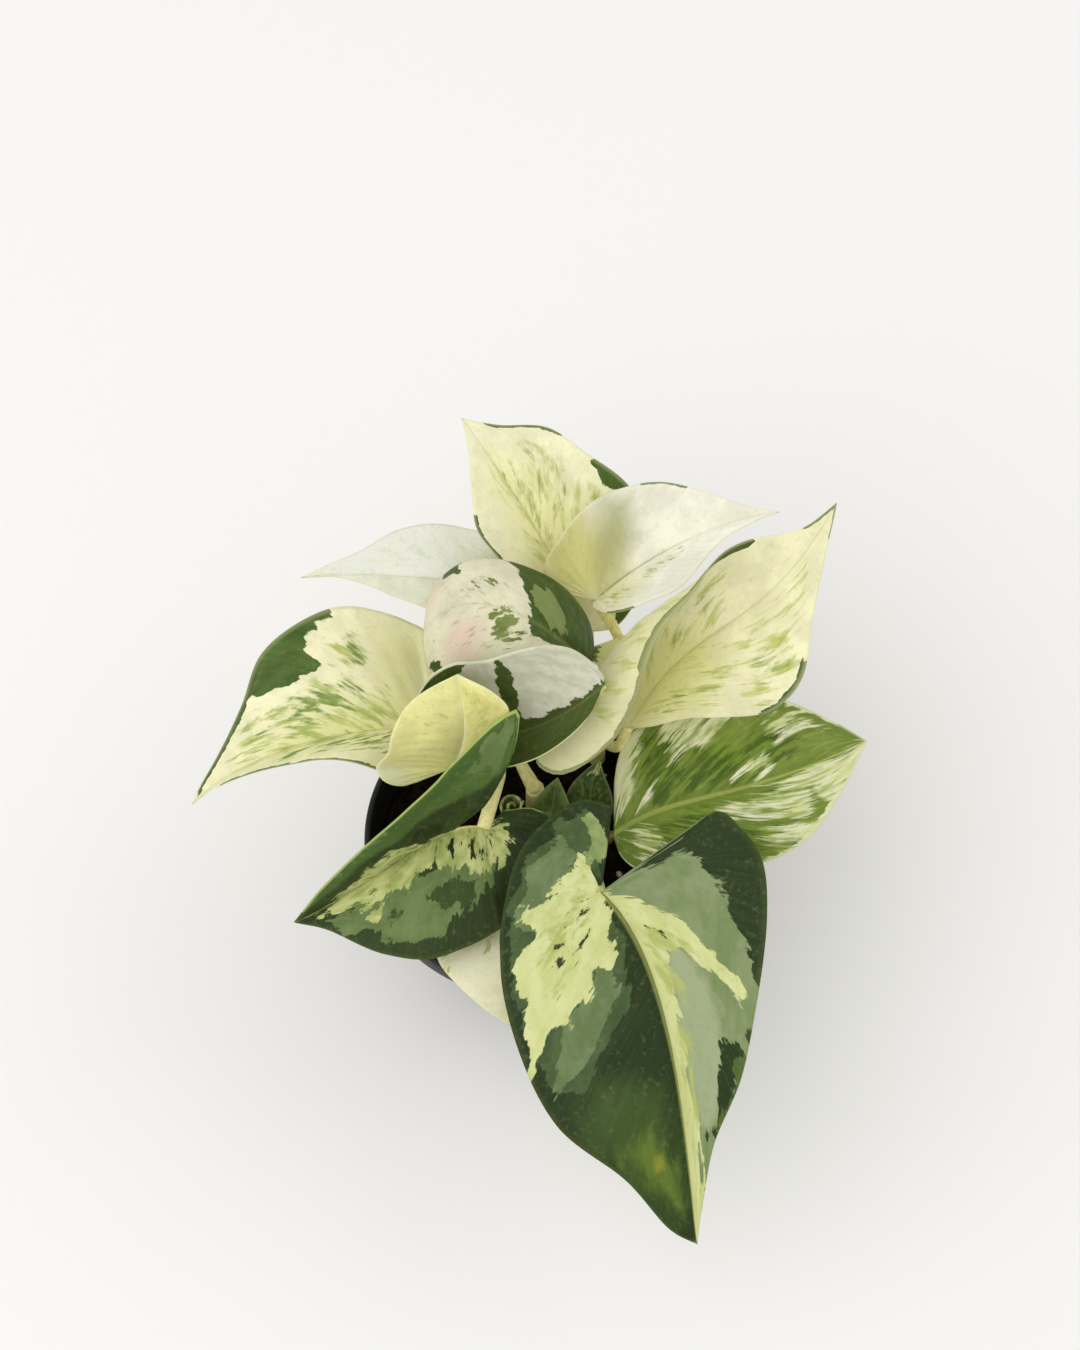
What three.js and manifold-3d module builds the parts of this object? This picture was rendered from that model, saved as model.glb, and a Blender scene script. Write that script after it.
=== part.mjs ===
// A young marbled vine with broad heart-shaped leaves in a round nursery pot.
// Millimetres, +Z up, origin at the middle of the pot's underside.
import * as THREE from 'three';
import { mergeVertices } from 'three/addons/utils/BufferGeometryUtils.js';
import Module from 'manifold-3d';

const wasm = await Module();
wasm.setup();

// Pot
const potHeight = 78;
const rimRadius = 49.5;
const rimBand = 10;
const bandStep = 2;
const wall = 1.4;
const baseRadius = 28.5;
const floorThickness = 2.4;
const drainHoleCount = 6;
const drainHoleRadius = 4;
const drainHoleRing = 18;

// Soil
const soilTop = 66;
const soilLump = 0.9;
const soilRings = 8;
const gap = 0.3;
const stemHoleDepth = 9;

// Leaves and stems
const bladeThickness = 0.8;
const bladeRows = 10;
const lobeRows = 6;
const bladeColumns = 4;
const rowSweep = 1.9;
const chordShare = 0.7;
const tubeSides = 8;
const stemDetail = 0.03;
const roundSides = 48;

const up = new THREE.Vector3(0, 0, 1);
const v = (p) => new THREE.Vector3(p[0], p[1], p[2]);
const radians = THREE.MathUtils.degToRad;

// Each leaf: its midrib through four points, and for each side the outline from the base lobe to the
// tip as (along the rib, out from it), the fold from level and the curl out to the margin, both in
// degrees at the base, the middle and the tip. Side right lies on the right hand, looking to the tip.
// A side with bare leaves that share of its rows at the base without a blade.
const leaves = {
  leaf_front: {
    colour: 0x3d5a34,
    rib: [[23, -27, 100], [38, -55, 97], [45, -91, 86], [49, -124, 62]],
    right: {
      edge: [[-22, -14], [-28, -4], [-22, 16], [-4, 31], [18, 42], [42, 44], [66, 37], [86, 19], [104, 8]],
      fold: [-5, -5, 0],
      curl: [0, -10, -10],
    },
    left: {
      edge: [[-4, 30], [-7, 44], [5, 48], [22, 42], [42, 33], [62, 23], [80, 10], [100, 3]],
      fold: [35, 48, 45],
      curl: [-10, -10, 0],
    },
    wave: [0.8, 3, 0.4],
  },
  leaf_front_left: {
    colour: 0x4c6a35,
    rib: [[-12, -3, 92], [-28, -8, 95], [-48, -20, 93], [-70, -29, 84]],
    right: {
      edge: [
        [9, 3], [4, 12], [-2, 21], [-8, 31], [-13, 41], [-15, 51],
        [-2, 45], [10, 33], [22, 27], [36, 23], [48, 15], [58, 7],
      ],
      fold: [100, 100, 80],
      curl: [-60, -60, -50],
      bare: 0.4,
    },
    left: {
      edge: [[-8, -4], [-18, -1], [-23, 12], [-12, 26], [8, 33], [30, 32], [45, 22], [57, 7]],
      fold: [0, 0, 0],
      curl: [-20, -20, -20],
    },
    wave: [0.6, 3, 1.1],
  },
  leaf_left: {
    colour: 0xd9dca6,
    rib: [[-26, 23, 108], [-51, 19, 117], [-77, 12, 116], [-100, 4, 100]],
    right: {
      edge: [[-4, 8], [-8, 20], [-2, 34], [14, 40], [31, 38], [46, 30], [56, 17], [68, 7]],
      fold: [5, 15, 20],
      curl: [0, -10, -20],
    },
    left: {
      edge: [[-3, 4], [-5, 8], [2, 13], [15, 15], [30, 12], [45, 9], [60, 6], [76, 2]],
      fold: [-20, 35, 50],
      curl: [0, 0, 0],
    },
    wave: [0.8, 3, 2.0],
  },
  leaf_back_left: {
    colour: 0xe6ead8,
    rib: [[-4, 70, 112], [-25, 71, 115], [-46, 74, 113], [-68, 77, 106]],
    right: {
      edge: [[-6, 4], [-8, 12], [4, 16], [20, 18], [34, 16], [46, 8], [58, 3]],
      fold: [10, 10, 10],
      curl: [0, -10, -20],
    },
    left: {
      edge: [[-4, 4], [-6, 9], [4, 13], [18, 14], [26, 12], [34, 9], [42, 5], [54, 1]],
      fold: [20, 20, 20],
      curl: [0, 0, 0],
    },
    wave: [0.6, 3, 0.2],
  },
  leaf_back: {
    colour: 0xe3e4b0,
    rib: [[22, 60, 98], [9, 82, 114], [-5, 99, 132], [-16, 111, 144]],
    right: {
      edge: [[-3, 6], [-2, 12], [5, 25], [12, 33], [20, 36], [28, 33], [37, 31], [48, 26], [62, 20], [71, 8]],
      fold: [10, 15, 10],
      curl: [0, 0, 0],
    },
    left: {
      edge: [[-5, 4], [-6, 10], [4, 15], [20, 15], [38, 18], [50, 19], [60, 13], [69, 6]],
      fold: [20, 20, 20],
      curl: [0, 0, 0],
    },
    wave: [0.5, 3, 1.6],
  },
  leaf_funnel: {
    colour: 0xe8e6bd,
    rib: [[24, 65, 110], [41, 77, 113], [61, 83, 122], [80, 83, 132]],
    right: {
      edge: [[-2, 4], [1, 14], [8, 22], [17, 26], [26, 28], [34, 24], [46, 8], [56, 3]],
      fold: [45, 40, 20],
      curl: [0, 0, 0],
    },
    left: {
      edge: [[-7, 7], [-9, 19], [1, 28], [15, 28], [26, 24], [36, 20], [46, 12], [56, 4]],
      fold: [40, 30, 20],
      curl: [40, 20, 0],
    },
    wave: [0.5, 3, 0.9],
  },
  leaf_right_back: {
    colour: 0xe0dfa6,
    rib: [[33, 27, 98], [53, 45, 116], [73, 54, 131], [95, 76, 150]],
    right: {
      edge: [[2, 3], [7, 8], [15, 14], [23, 21], [33, 28], [42, 31], [54, 28], [68, 15], [82, 6]],
      fold: [10, 10, 10],
      curl: [-30, -10, 0],
    },
    left: {
      edge: [
        [-10, 3], [-16, 12], [-21, 22], [-23, 31], [-18, 40],
        [0, 45], [20, 43], [40, 36], [56, 30], [70, 18], [82, 6],
      ],
      fold: [-20, 10, 20],
      curl: [245, 180, 60],
    },
    wave: [0.5, 3, 2.6],
  },
  leaf_right: {
    colour: 0x6f9038,
    rib: [[28, -3, 84], [47, 4, 90], [71, 9, 93], [108, 25, 88]],
    right: {
      edge: [[2, 3], [-1, 7], [3, 15], [18, 23], [38, 25], [55, 22], [68, 14], [79, 6]],
      fold: [10, 10, 10],
      curl: [-20, -20, -10],
    },
    left: {
      edge: [[4, 6], [9, 18], [17, 27], [34, 31], [52, 30], [66, 23], [79, 10]],
      fold: [10, 10, 10],
      curl: [-20, -20, -10],
    },
    wave: [0.6, 3, 0.7],
  },
  leaf_dome: {
    colour: 0xcfcfb8,
    rib: [[21, 38, 116], [8, 45, 132], [-12, 52, 136], [-29, 49, 121]],
    right: {
      edge: [[0, 5], [2, 11], [8, 17], [18, 21], [32, 21], [46, 20], [58, 20], [67, 14]],
      fold: [5, 5, 5],
      curl: [-50, -50, -50],
    },
    left: {
      edge: [[0, 4], [2, 8], [10, 13], [24, 16], [38, 20], [52, 21], [64, 13]],
      fold: [0, 0, 0],
      curl: [-60, -60, -50],
    },
    wave: [0.3, 3, 0.5],
  },
  leaf_centre: {
    colour: 0x5d7340,
    rib: [[25, 28, 130], [7, 20, 120], [-13, 19, 114], [-31, 22, 134]],
    right: {
      edge: [[0, 3], [3, 10], [9, 19], [18, 26], [31, 31], [40, 30], [50, 29], [60, 25], [68, 13]],
      fold: [50, 50, 60],
      curl: [10, 30, 40],
    },
    left: {
      edge: [[1, 1], [5, 3], [10, 7], [20, 11], [32, 16], [40, 13], [50, 7], [62, 4]],
      fold: [-20, -20, -10],
      curl: [110, 90, 20],
    },
    wave: [0.3, 3, 1.2],
  },
  leaf_cup: {
    colour: 0xdede8c,
    rib: [[-21, 8, 115], [-17, 14, 125], [-17, 20, 134], [-18, 26, 143]],
    right: {
      edge: [[-1, 3], [5, 6], [11, 9], [17, 12], [24, 14], [30, 9]],
      fold: [10, 10, 10],
      curl: [0, 0, 0],
    },
    left: {
      edge: [[-4, 7], [-7, 14], [-4, 21], [5, 25], [14, 26], [23, 25], [30, 17]],
      fold: [30, 30, 30],
      curl: [10, 20, 20],
    },
    wave: [0.3, 2, 0.3],
  },
  leaf_low_front: {
    colour: 0xd8dcb0,
    rib: [[-6, -27, 80], [-2, -43, 82], [4, -60, 78], [10, -74, 70]],
    right: {
      edge: [[-4, 6], [-6, 14], [1, 22], [8, 23], [16, 20], [25, 15], [32, 10], [38, 5]],
      fold: [0, 0, 0],
      curl: [-10, -10, -10],
    },
    left: {
      edge: [[-4, 6], [-6, 12], [4, 18], [16, 18], [30, 13], [42, 6]],
      fold: [0, 0, 0],
      curl: [-10, -10, -10],
    },
    wave: [0.4, 3, 0.8],
  },
  leaf_low_right: {
    colour: 0xdcdcaa,
    rib: [[42, 41, 95], [34, 45, 99], [27, 48, 102], [20, 51, 103]],
    right: {
      edge: [[-2, 3], [-4, 7], [2, 12], [9, 13], [15, 11], [20, 6]],
      fold: [5, 5, 5],
      curl: [0, 0, 0],
    },
    left: {
      edge: [[-2, 3], [-4, 6], [2, 8], [12, 7], [18, 4]],
      fold: [5, 5, 5],
      curl: [0, 0, 0],
    },
    wave: [0.3, 2, 0.8],
  },
  leaf_small_mid: {
    colour: 0x6f8648,
    rib: [[9, 2, 76], [9, 5, 83], [10, 9, 90], [11, 12, 95]],
    right: {
      edge: [[-1, 2], [2, 5], [7, 7], [13, 6], [18, 3]],
      fold: [20, 20, 20],
      curl: [0, 0, 0],
    },
    left: {
      edge: [[-1, 2], [2, 5], [7, 7], [13, 6], [18, 3]],
      fold: [20, 20, 20],
      curl: [0, 0, 0],
    },
    wave: [0.2, 2, 0.8],
  },
  leaf_small_dark: {
    colour: 0x3f5a2c,
    rib: [[21, 5, 76], [21, 8, 85], [22, 12, 94], [24, 15, 101]],
    right: {
      edge: [[-1, 2], [2, 5], [8, 8], [16, 7], [23, 3]],
      fold: [15, 15, 15],
      curl: [0, 0, 0],
    },
    left: {
      edge: [[-1, 2], [2, 5], [8, 8], [16, 7], [23, 3]],
      fold: [25, 25, 25],
      curl: [0, 0, 0],
    },
    wave: [0.2, 2, 0.8],
  },
};

// Each stem: where it stands, its radius, the points it climbs through from the soil, and its leaf
// stalks, each with the leaf it carries and the points from the stem to that leaf.
const stems = {
  stem_front: {
    colour: 0x9aa352,
    radius: 2.6,
    climb: [[16, -12, 74], [17, -13, 80]],
    stalks: [{ leaf: 'leaf_front', radius: 1.7, path: [[17, -13, 79], [20, -17, 90], [22, -22, 97]] }],
  },
  stem_right: {
    colour: 0x7d6a48,
    radius: 2.2,
    climb: [[20, -5, 72], [22, -5, 76]],
    stalks: [{ leaf: 'leaf_right', radius: 1.5, path: [[22, -5, 75], [25, -4, 80]] }],
  },
  stem_front_left: {
    colour: 0xa9ad62,
    radius: 2.4,
    climb: [[-4, -14, 72], [-5, -16, 74]],
    stalks: [{ leaf: 'leaf_low_front', radius: 1.5, path: [[-5, -16, 73], [-6, -22, 77]] }],
  },
  stem_left: {
    colour: 0xd2cf86,
    radius: 2.8,
    climb: [[-8, 24, 78], [-8, 24, 88]],
    stalks: [
      { leaf: 'leaf_front_left', radius: 2.2, path: [[-8, 23, 84], [-7, 15, 93], [-9, 6, 95]] },
      { leaf: 'leaf_left', radius: 1.7, path: [[-8, 24, 87], [-14, 24, 97], [-21, 24, 105]] },
      { leaf: 'leaf_cup', radius: 1.5, path: [[-9, 24, 82], [-17, 12, 92], [-20, 7, 104]] },
    ],
  },
  stem_middle: {
    colour: 0xcdc97c,
    radius: 3.0,
    climb: [[4, 13, 76], [4, 13, 84]],
    stalks: [
      {
        leaf: 'leaf_centre',
        radius: 1.8,
        path: [[4, 13, 83], [-1, 20, 95], [0, 27, 106], [9, 29, 112], [18, 28, 119]],
      },
    ],
  },
  stem_back: {
    colour: 0xb9bd6c,
    radius: 3.0,
    climb: [[8, 32, 78], [8, 34, 88]],
    stalks: [
      { leaf: 'leaf_dome', radius: 1.7, path: [[8, 34, 88], [10, 38, 100], [15, 40, 108]] },
      { leaf: 'leaf_back_left', radius: 1.6, path: [[8, 35, 86], [4, 50, 98], [0, 62, 107]] },
    ],
  },
  stem_back_right: {
    colour: 0xb9bd6c,
    radius: 3.0,
    climb: [[24, 30, 78], [25, 32, 86]],
    stalks: [
      { leaf: 'leaf_back', radius: 1.7, path: [[25, 34, 84], [23, 44, 88], [22, 53, 93]] },
      { leaf: 'leaf_funnel', radius: 1.7, path: [[27, 32, 80], [34, 45, 88], [31, 57, 100]] },
      { leaf: 'leaf_right_back', radius: 1.8, path: [[25, 30, 81], [30, 24, 90]] },
    ],
  },
  stem_low_right: {
    colour: 0xb9bd6c,
    radius: 1.7,
    climb: [[32, 24, 71], [33, 26, 76]],
    stalks: [{ leaf: 'leaf_low_right', radius: 1.3, path: [[33, 26, 75], [37, 32, 85], [43, 38, 91]] }],
  },
  stem_small: {
    colour: 0x8c9a4e,
    radius: 1.8,
    climb: [[9, 0, 70], [9, 0, 72]],
    stalks: [{ leaf: 'leaf_small_mid', radius: 1.1, path: [[9, 0, 70], [9, 1, 74]] }],
  },
  stem_small_dark: {
    colour: 0x6f8040,
    radius: 1.8,
    climb: [[21, 4, 70], [21, 4, 72]],
    stalks: [{ leaf: 'leaf_small_dark', radius: 1.1, path: [[21, 4, 70], [21, 4, 74]] }],
  },
};

// The new leaf, rolled up round itself
const roll = {
  x: -3,
  y: 8,
  bottom: 70,
  top: 83,
  outer: 4.4,
  inner: 1.2,
  turns: 1.4,
  thickness: 0.9,
  stalk: 1.6,
};

function smooth(t) {
  return t * t * (3 - 2 * t);
}

function blend(three, share) {
  const x = Math.min(Math.max(share, 0), 1);
  if (x < 0.5) return three[0] + (three[1] - three[0]) * smooth(x * 2);
  return three[1] + (three[2] - three[1]) * smooth(x * 2 - 1);
}

// The midrib: a cubic through its four points, measured along its length.
function makeRib(points) {
  const p = points.map(v);
  const at = (t) => {
    const a = 3 * t;
    return new THREE.Vector3()
      .addScaledVector(p[0], -(a - 1) * (a - 2) * (a - 3) / 6)
      .addScaledVector(p[1], a * (a - 2) * (a - 3) / 2)
      .addScaledVector(p[2], -a * (a - 1) * (a - 3) / 2)
      .addScaledVector(p[3], a * (a - 1) * (a - 2) / 6);
  };
  const steps = 200;
  const lengths = [0];
  for (let i = 1; i <= steps; i++) {
    lengths.push(lengths[i - 1] + at(i / steps).distanceTo(at((i - 1) / steps)));
  }
  const length = lengths[steps];
  const chord = p[3].clone().sub(p[0]).normalize();
  const share = (x) => {
    const d = Math.min(Math.max(x, 0), length);
    let i = 1;
    while (i < steps && lengths[i] < d) i++;
    return (i - 1 + (d - lengths[i - 1]) / (lengths[i] - lengths[i - 1])) / steps;
  };
  const frame = (x) => {
    const t = share(x);
    const tangent = at(t + 0.001).sub(at(t - 0.001)).normalize();
    const along = tangent.multiplyScalar(1 - chordShare).addScaledVector(chord, chordShare).normalize();
    const centre = at(t).addScaledVector(along, Math.min(x, 0));
    const side = along.clone().cross(up).normalize();
    return { centre, along, side, normal: side.clone().cross(along) };
  };
  return { length, frame };
}

function throughPoints(rows, q) {
  const n = rows.length - 1;
  const x = Math.min(q * n, n - 1e-9);
  const i = Math.floor(x);
  const f = x - i;
  return rows[i].map((value, k) => {
    const next = rows[i + 1][k];
    const before = i > 0 ? rows[i - 1][k] : 2 * value - next;
    const after = i + 2 <= n ? rows[i + 2][k] : 2 * next - value;
    const square = (2 * before - 5 * value + 4 * next - after) * f * f;
    const cubic = (3 * value - before - 3 * next + after) * f ** 3;
    return 0.5 * (2 * value + (next - before) * f + square + cubic);
  });
}

// A leaf side's rows, from the base lobe to the tip. Each runs from its foot on the rib out to the margin,
// and both sides share the feet, so that they join along the rib.
function sideRows(leaf, rib, name) {
  const length = rib.length;
  const bareRows = Math.round(bladeRows * (leaf[name].bare ?? 0));
  const first = length * (bareRows / bladeRows) ** rowSweep;
  const footOf = (x) => first + (length - first) * (Math.max(x, 0) / length) ** rowSweep;
  const rows = leaf[name].edge.map(([x, y]) => [x, y, footOf(x)]);
  rows.push([length, 0, length]);
  const footAt = (q) => throughPoints(rows, q)[2];
  let start = 1;
  while (start > 0 && footAt(start) > first + 0.001) start -= 0.0025;
  start = Math.max(start, 0);
  const found = [];
  for (let i = 0; i < lobeRows && start > 0; i++) found.push([first, start * i / lobeRows]);
  for (let i = bareRows; i <= bladeRows; i++) {
    const foot = length * (i / bladeRows) ** rowSweep;
    let low = start;
    let high = 1;
    for (let step = 0; step < 30; step++) {
      const middle = (low + high) / 2;
      if (footAt(middle) < foot) low = middle;
      else high = middle;
    }
    found.push([foot, i === bladeRows ? 1 : low]);
  }
  return found.map(([foot, q]) => {
    const [x, y] = throughPoints(rows, q);
    return { foot, x, y };
  });
}

// A point of the leaf's middle surface, at share t from the rib to the margin of one row.
function leafPoint(leaf, rib, name, row, t) {
  const side = leaf[name];
  const sign = name === 'right' ? 1 : -1;
  const x = row.foot + (row.x - row.foot) * t;
  const out = row.y * t;
  const widest = Math.max(...side.edge.map((p) => p[1]));
  const { centre, side: across, normal } = rib.frame(x);
  const fold = radians(blend(side.fold, x / rib.length));
  const bend = radians(blend(side.curl, x / rib.length)) / widest;
  const [size, count, phase] = leaf.wave;
  const angle = 2 * Math.PI * count * x / rib.length + phase + sign;
  const ripple = size * (out / widest) ** 2 * Math.sin(angle);
  let u = out * Math.cos(fold);
  let w = out * Math.sin(fold);
  if (Math.abs(bend) > 1e-6 && out > 0) {
    u = (Math.sin(fold + bend * out) - Math.sin(fold)) / bend;
    w = (Math.cos(fold) - Math.cos(fold + bend * out)) / bend;
  }
  return centre.addScaledVector(across, u * sign).addScaledVector(normal, w + ripple);
}

// A closed blade: the middle surface moved half the thickness each way and joined round its margin.
function bladeSolid(leaf) {
  const rib = makeRib(leaf.rib);
  const points = [];
  const index = new Map();
  const add = (p) => {
    const key = [p.x, p.y, p.z].map((c) => Math.round(c * 1000)).join(' ');
    if (!index.has(key)) {
      index.set(key, points.length);
      points.push(p);
    }
    return index.get(key);
  };
  const faces = [];
  for (const name of ['right', 'left']) {
    const grid = sideRows(leaf, rib, name).map((row) => {
      const line = [];
      for (let column = 0; column <= bladeColumns; column++) {
        line.push(add(leafPoint(leaf, rib, name, row, column / bladeColumns)));
      }
      return line;
    });
    for (let row = 0; row < grid.length - 1; row++) {
      for (let column = 0; column < bladeColumns; column++) {
        const a = grid[row][column];
        const b = grid[row][column + 1];
        const c = grid[row + 1][column + 1];
        const d = grid[row + 1][column];
        for (const face of [[a, b, c], [a, c, d]]) {
          if (new Set(face).size < 3) continue;
          faces.push(name === 'right' ? face : face.reverse());
        }
      }
    }
  }
  const normals = points.map(() => new THREE.Vector3());
  const edges = new Map();
  for (const face of faces) {
    const [a, b, c] = face.map((i) => points[i]);
    const area = b.clone().sub(a).cross(c.clone().sub(a));
    for (const i of face) normals[i].add(area);
    face.forEach((from, k) => edges.set(`${from} ${face[(k + 1) % 3]}`, [from, face[(k + 1) % 3]]));
  }
  normals.forEach((n) => n.normalize());
  const rim = [...edges.values()].filter(([from, to]) => !edges.has(`${to} ${from}`));
  const half = bladeThickness / 2;
  const n = points.length;
  const positions = [];
  for (const side of [half, -half]) {
    points.forEach((p, i) => {
      const moved = p.clone().addScaledVector(normals[i], side);
      positions.push(moved.x, moved.y, moved.z);
    });
  }
  const triangles = [];
  for (const [a, b, c] of faces) triangles.push(a, b, c, a + n, c + n, b + n);
  for (const [from, to] of rim) triangles.push(to, from, from + n, to, from + n, to + n);
  const geometry = new THREE.BufferGeometry();
  geometry.setAttribute('position', new THREE.Float32BufferAttribute(positions, 3));
  geometry.setIndex(triangles);
  return geometry;
}

function toSolid(geometry) {
  const plain = geometry.clone();
  plain.deleteAttribute('normal');
  plain.deleteAttribute('uv');
  const merged = mergeVertices(plain, 1e-4);
  return new wasm.Manifold(new wasm.Mesh({
    numProp: 3,
    vertProperties: new Float32Array(merged.attributes.position.array),
    triVerts: new Uint32Array(merged.index.array),
  }));
}

function fromSolid(solid) {
  const mesh = solid.getMesh();
  const geometry = new THREE.BufferGeometry();
  geometry.setAttribute('position', new THREE.BufferAttribute(new Float32Array(mesh.vertProperties), 3));
  geometry.setIndex(new THREE.BufferAttribute(new Uint32Array(mesh.triVerts), 1));
  return geometry;
}

function circle(radius, sides) {
  const shape = new THREE.Shape();
  for (let i = 0; i < sides; i++) {
    const angle = 2 * Math.PI * i / sides;
    const move = i === 0 ? 'moveTo' : 'lineTo';
    shape[move](radius * Math.cos(angle), radius * Math.sin(angle));
  }
  shape.closePath();
  return shape;
}

function tube(points, radius, steps) {
  const path = new THREE.CatmullRomCurve3(points.map(v));
  return toSolid(new THREE.ExtrudeGeometry(circle(radius, tubeSides), { steps, extrudePath: path }));
}

function upright(x, y, bottom, top, radius, sides) {
  const height = { depth: top - bottom, bevelEnabled: false };
  return toSolid(new THREE.ExtrudeGeometry(circle(radius, sides), height).translate(x, y, bottom));
}

function largest(solid) {
  return solid.decompose().sort((a, b) => b.volume() - a.volume())[0];
}

function makePot() {
  const bandFoot = potHeight - rimBand;
  const bodyTop = rimRadius - bandStep;
  const slope = (bodyTop - baseRadius) / bandFoot;
  const inside = (z) => baseRadius + slope * z - wall;
  const profile = [
    [0, 0],
    [baseRadius - 1, 0],
    [baseRadius, 1],
    [bodyTop, bandFoot - 0.5],
    [rimRadius - 0.6, bandFoot],
    [rimRadius, bandFoot + 0.8],
    [rimRadius, potHeight - 1],
    [rimRadius - 0.5, potHeight - 0.2],
    [rimRadius - 1.1, potHeight],
    [rimRadius - 1.7, potHeight - 0.2],
    [rimRadius - 2, potHeight - 1],
    [rimRadius - 2.2, bandFoot + 1],
    [inside(bandFoot - 2), bandFoot - 2],
    [inside(floorThickness + 2), floorThickness + 2],
    [inside(floorThickness) - 1.5, floorThickness],
    [0, floorThickness],
  ].map(([x, y]) => new THREE.Vector2(x, y));
  const body = new THREE.LatheGeometry(profile, roundSides);
  body.rotateX(Math.PI / 2);
  let pot = toSolid(body);
  for (let i = 0; i < drainHoleCount; i++) {
    const angle = 2 * Math.PI * (i + 0.5) / drainHoleCount;
    const x = drainHoleRing * Math.cos(angle);
    const y = drainHoleRing * Math.sin(angle);
    pot = pot.subtract(upright(x, y, -1, floorThickness + 1, drainHoleRadius, 16));
  }
  return { geometry: fromSolid(pot), inside };
}

function soilHeight(x, y) {
  return soilTop
    + soilLump * Math.sin(x * 0.31 + 1.2) * Math.sin(y * 0.27 + 0.4)
    + soilLump * 0.6 * Math.sin(x * 0.13 - y * 0.47)
    + soilLump * 0.4 * Math.sin(x * 0.71 + y * 0.52 + 2);
}

function makeSoil(inside, holes) {
  const bottom = floorThickness + gap;
  const bottomRadius = inside(floorThickness) - 1.5 - gap;
  const topRadius = inside(soilTop - 3) - gap - 0.2;
  const positions = [0, 0, soilHeight(0, 0), 0, 0, bottom];
  const ringStart = (ring) => 2 + ring * roundSides;
  const rings = [];
  for (let ring = 1; ring <= soilRings; ring++) rings.push(topRadius * ring / soilRings);
  for (const radius of rings) {
    for (let i = 0; i < roundSides; i++) {
      const angle = 2 * Math.PI * i / roundSides;
      const x = radius * Math.cos(angle);
      const y = radius * Math.sin(angle);
      positions.push(x, y, soilHeight(x, y));
    }
  }
  for (let i = 0; i < roundSides; i++) {
    const angle = 2 * Math.PI * i / roundSides;
    positions.push(bottomRadius * Math.cos(angle), bottomRadius * Math.sin(angle), bottom);
  }
  const triangles = [];
  for (let i = 0; i < roundSides; i++) {
    const next = (i + 1) % roundSides;
    triangles.push(0, ringStart(0) + i, ringStart(0) + next);
    for (let ring = 0; ring < soilRings; ring++) {
      const a = ringStart(ring) + i;
      const b = ringStart(ring) + next;
      const c = ringStart(ring + 1) + next;
      const d = ringStart(ring + 1) + i;
      triangles.push(a, d, c, a, c, b);
    }
    triangles.push(1, ringStart(soilRings) + next, ringStart(soilRings) + i);
  }
  const geometry = new THREE.BufferGeometry();
  geometry.setAttribute('position', new THREE.Float32BufferAttribute(positions, 3));
  geometry.setIndex(triangles);
  let soil = toSolid(geometry);
  for (const { x, y, radius } of holes) {
    soil = soil.subtract(upright(x, y, soilTop - stemHoleDepth, soilTop + 10, radius + gap, 16));
  }
  return fromSolid(soil);
}

// A leaf stalk runs to its leaf's junction and stops just clear of the blade.
function makeStalk(stalk) {
  const leaf = leaves[stalk.leaf];
  const blade = toSolid(bladeSolid(leaf));
  const junction = v(leaf.rib[0]);
  const back = v(stalk.path.at(-1)).sub(junction).normalize();
  for (let short = 0.5; short < 6; short += 0.1) {
    const end = junction.clone().addScaledVector(back, short);
    const arm = tube([...stalk.path, end.toArray()], stalk.radius, 9);
    if (arm.minGap(blade, 2) >= gap) return arm;
  }
  throw new Error(`no clear way to ${stalk.leaf}`);
}

// A stem stands upright in the soil, climbs, and sends out its leaf stalks.
function makeStem(stem) {
  const [x, y] = stem.climb[0];
  const foot = soilTop - stemHoleDepth + gap;
  const inSoil = [[x, y, foot], [x, y, soilTop - 3], [x, y, soilTop + 1]];
  let solid = tube([...inSoil, ...stem.climb], stem.radius, 9);
  for (const stalk of stem.stalks) solid = solid.add(makeStalk(stalk));
  return fromSolid(largest(solid.simplify(stemDetail)));
}

function makeRoll() {
  const steps = 36;
  const outline = [];
  const back = [];
  for (let i = 0; i <= steps; i++) {
    const share = i / steps;
    const angle = 2 * Math.PI * roll.turns * share;
    const radius = roll.inner + (roll.outer - roll.inner) * share;
    outline.push([radius * Math.cos(angle), radius * Math.sin(angle)]);
    const inner = radius - roll.thickness;
    back.unshift([inner * Math.cos(angle), inner * Math.sin(angle)]);
  }
  const shape = new THREE.Shape([...outline, ...back].map(([x, y]) => new THREE.Vector2(x, y)));
  const spiral = new THREE.ExtrudeGeometry(shape, { depth: roll.top - roll.bottom, bevelEnabled: false });
  spiral.translate(roll.x, roll.y, roll.bottom);
  const stalk = upright(roll.x, roll.y, soilTop - stemHoleDepth + gap, roll.bottom, roll.stalk, tubeSides);
  const seat = upright(roll.x, roll.y, roll.bottom - 1, roll.bottom + 0.6, roll.outer - 0.2, 16);
  return fromSolid(largest(toSolid(spiral).add(stalk).add(seat)));
}

const root = new THREE.Group();

function addPiece(name, geometry, colour, roughness) {
  const material = new THREE.MeshStandardMaterial({ color: colour, roughness });
  const mesh = new THREE.Mesh(geometry, material);
  mesh.name = name;
  root.add(mesh);
}

const pot = makePot();
addPiece('pot', pot.geometry, 0x1b1b1d, 0.5);

const holes = Object.values(stems).map(({ climb, radius }) => ({ x: climb[0][0], y: climb[0][1], radius }));
holes.push({ x: roll.x, y: roll.y, radius: roll.stalk });
addPiece('soil', makeSoil(pot.inside, holes), 0x1d1614, 0.95);

for (const [name, stem] of Object.entries(stems)) addPiece(name, makeStem(stem), stem.colour, 0.5);
for (const [name, leaf] of Object.entries(leaves)) {
  addPiece(name, fromSolid(toSolid(bladeSolid(leaf))), leaf.colour, 0.4);
}
addPiece('leaf_rolled', makeRoll(), 0x8fa04e, 0.5);

export default root;
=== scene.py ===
import math
import random

import bmesh
import bpy
import numpy as np
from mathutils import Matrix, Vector, noise


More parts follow.
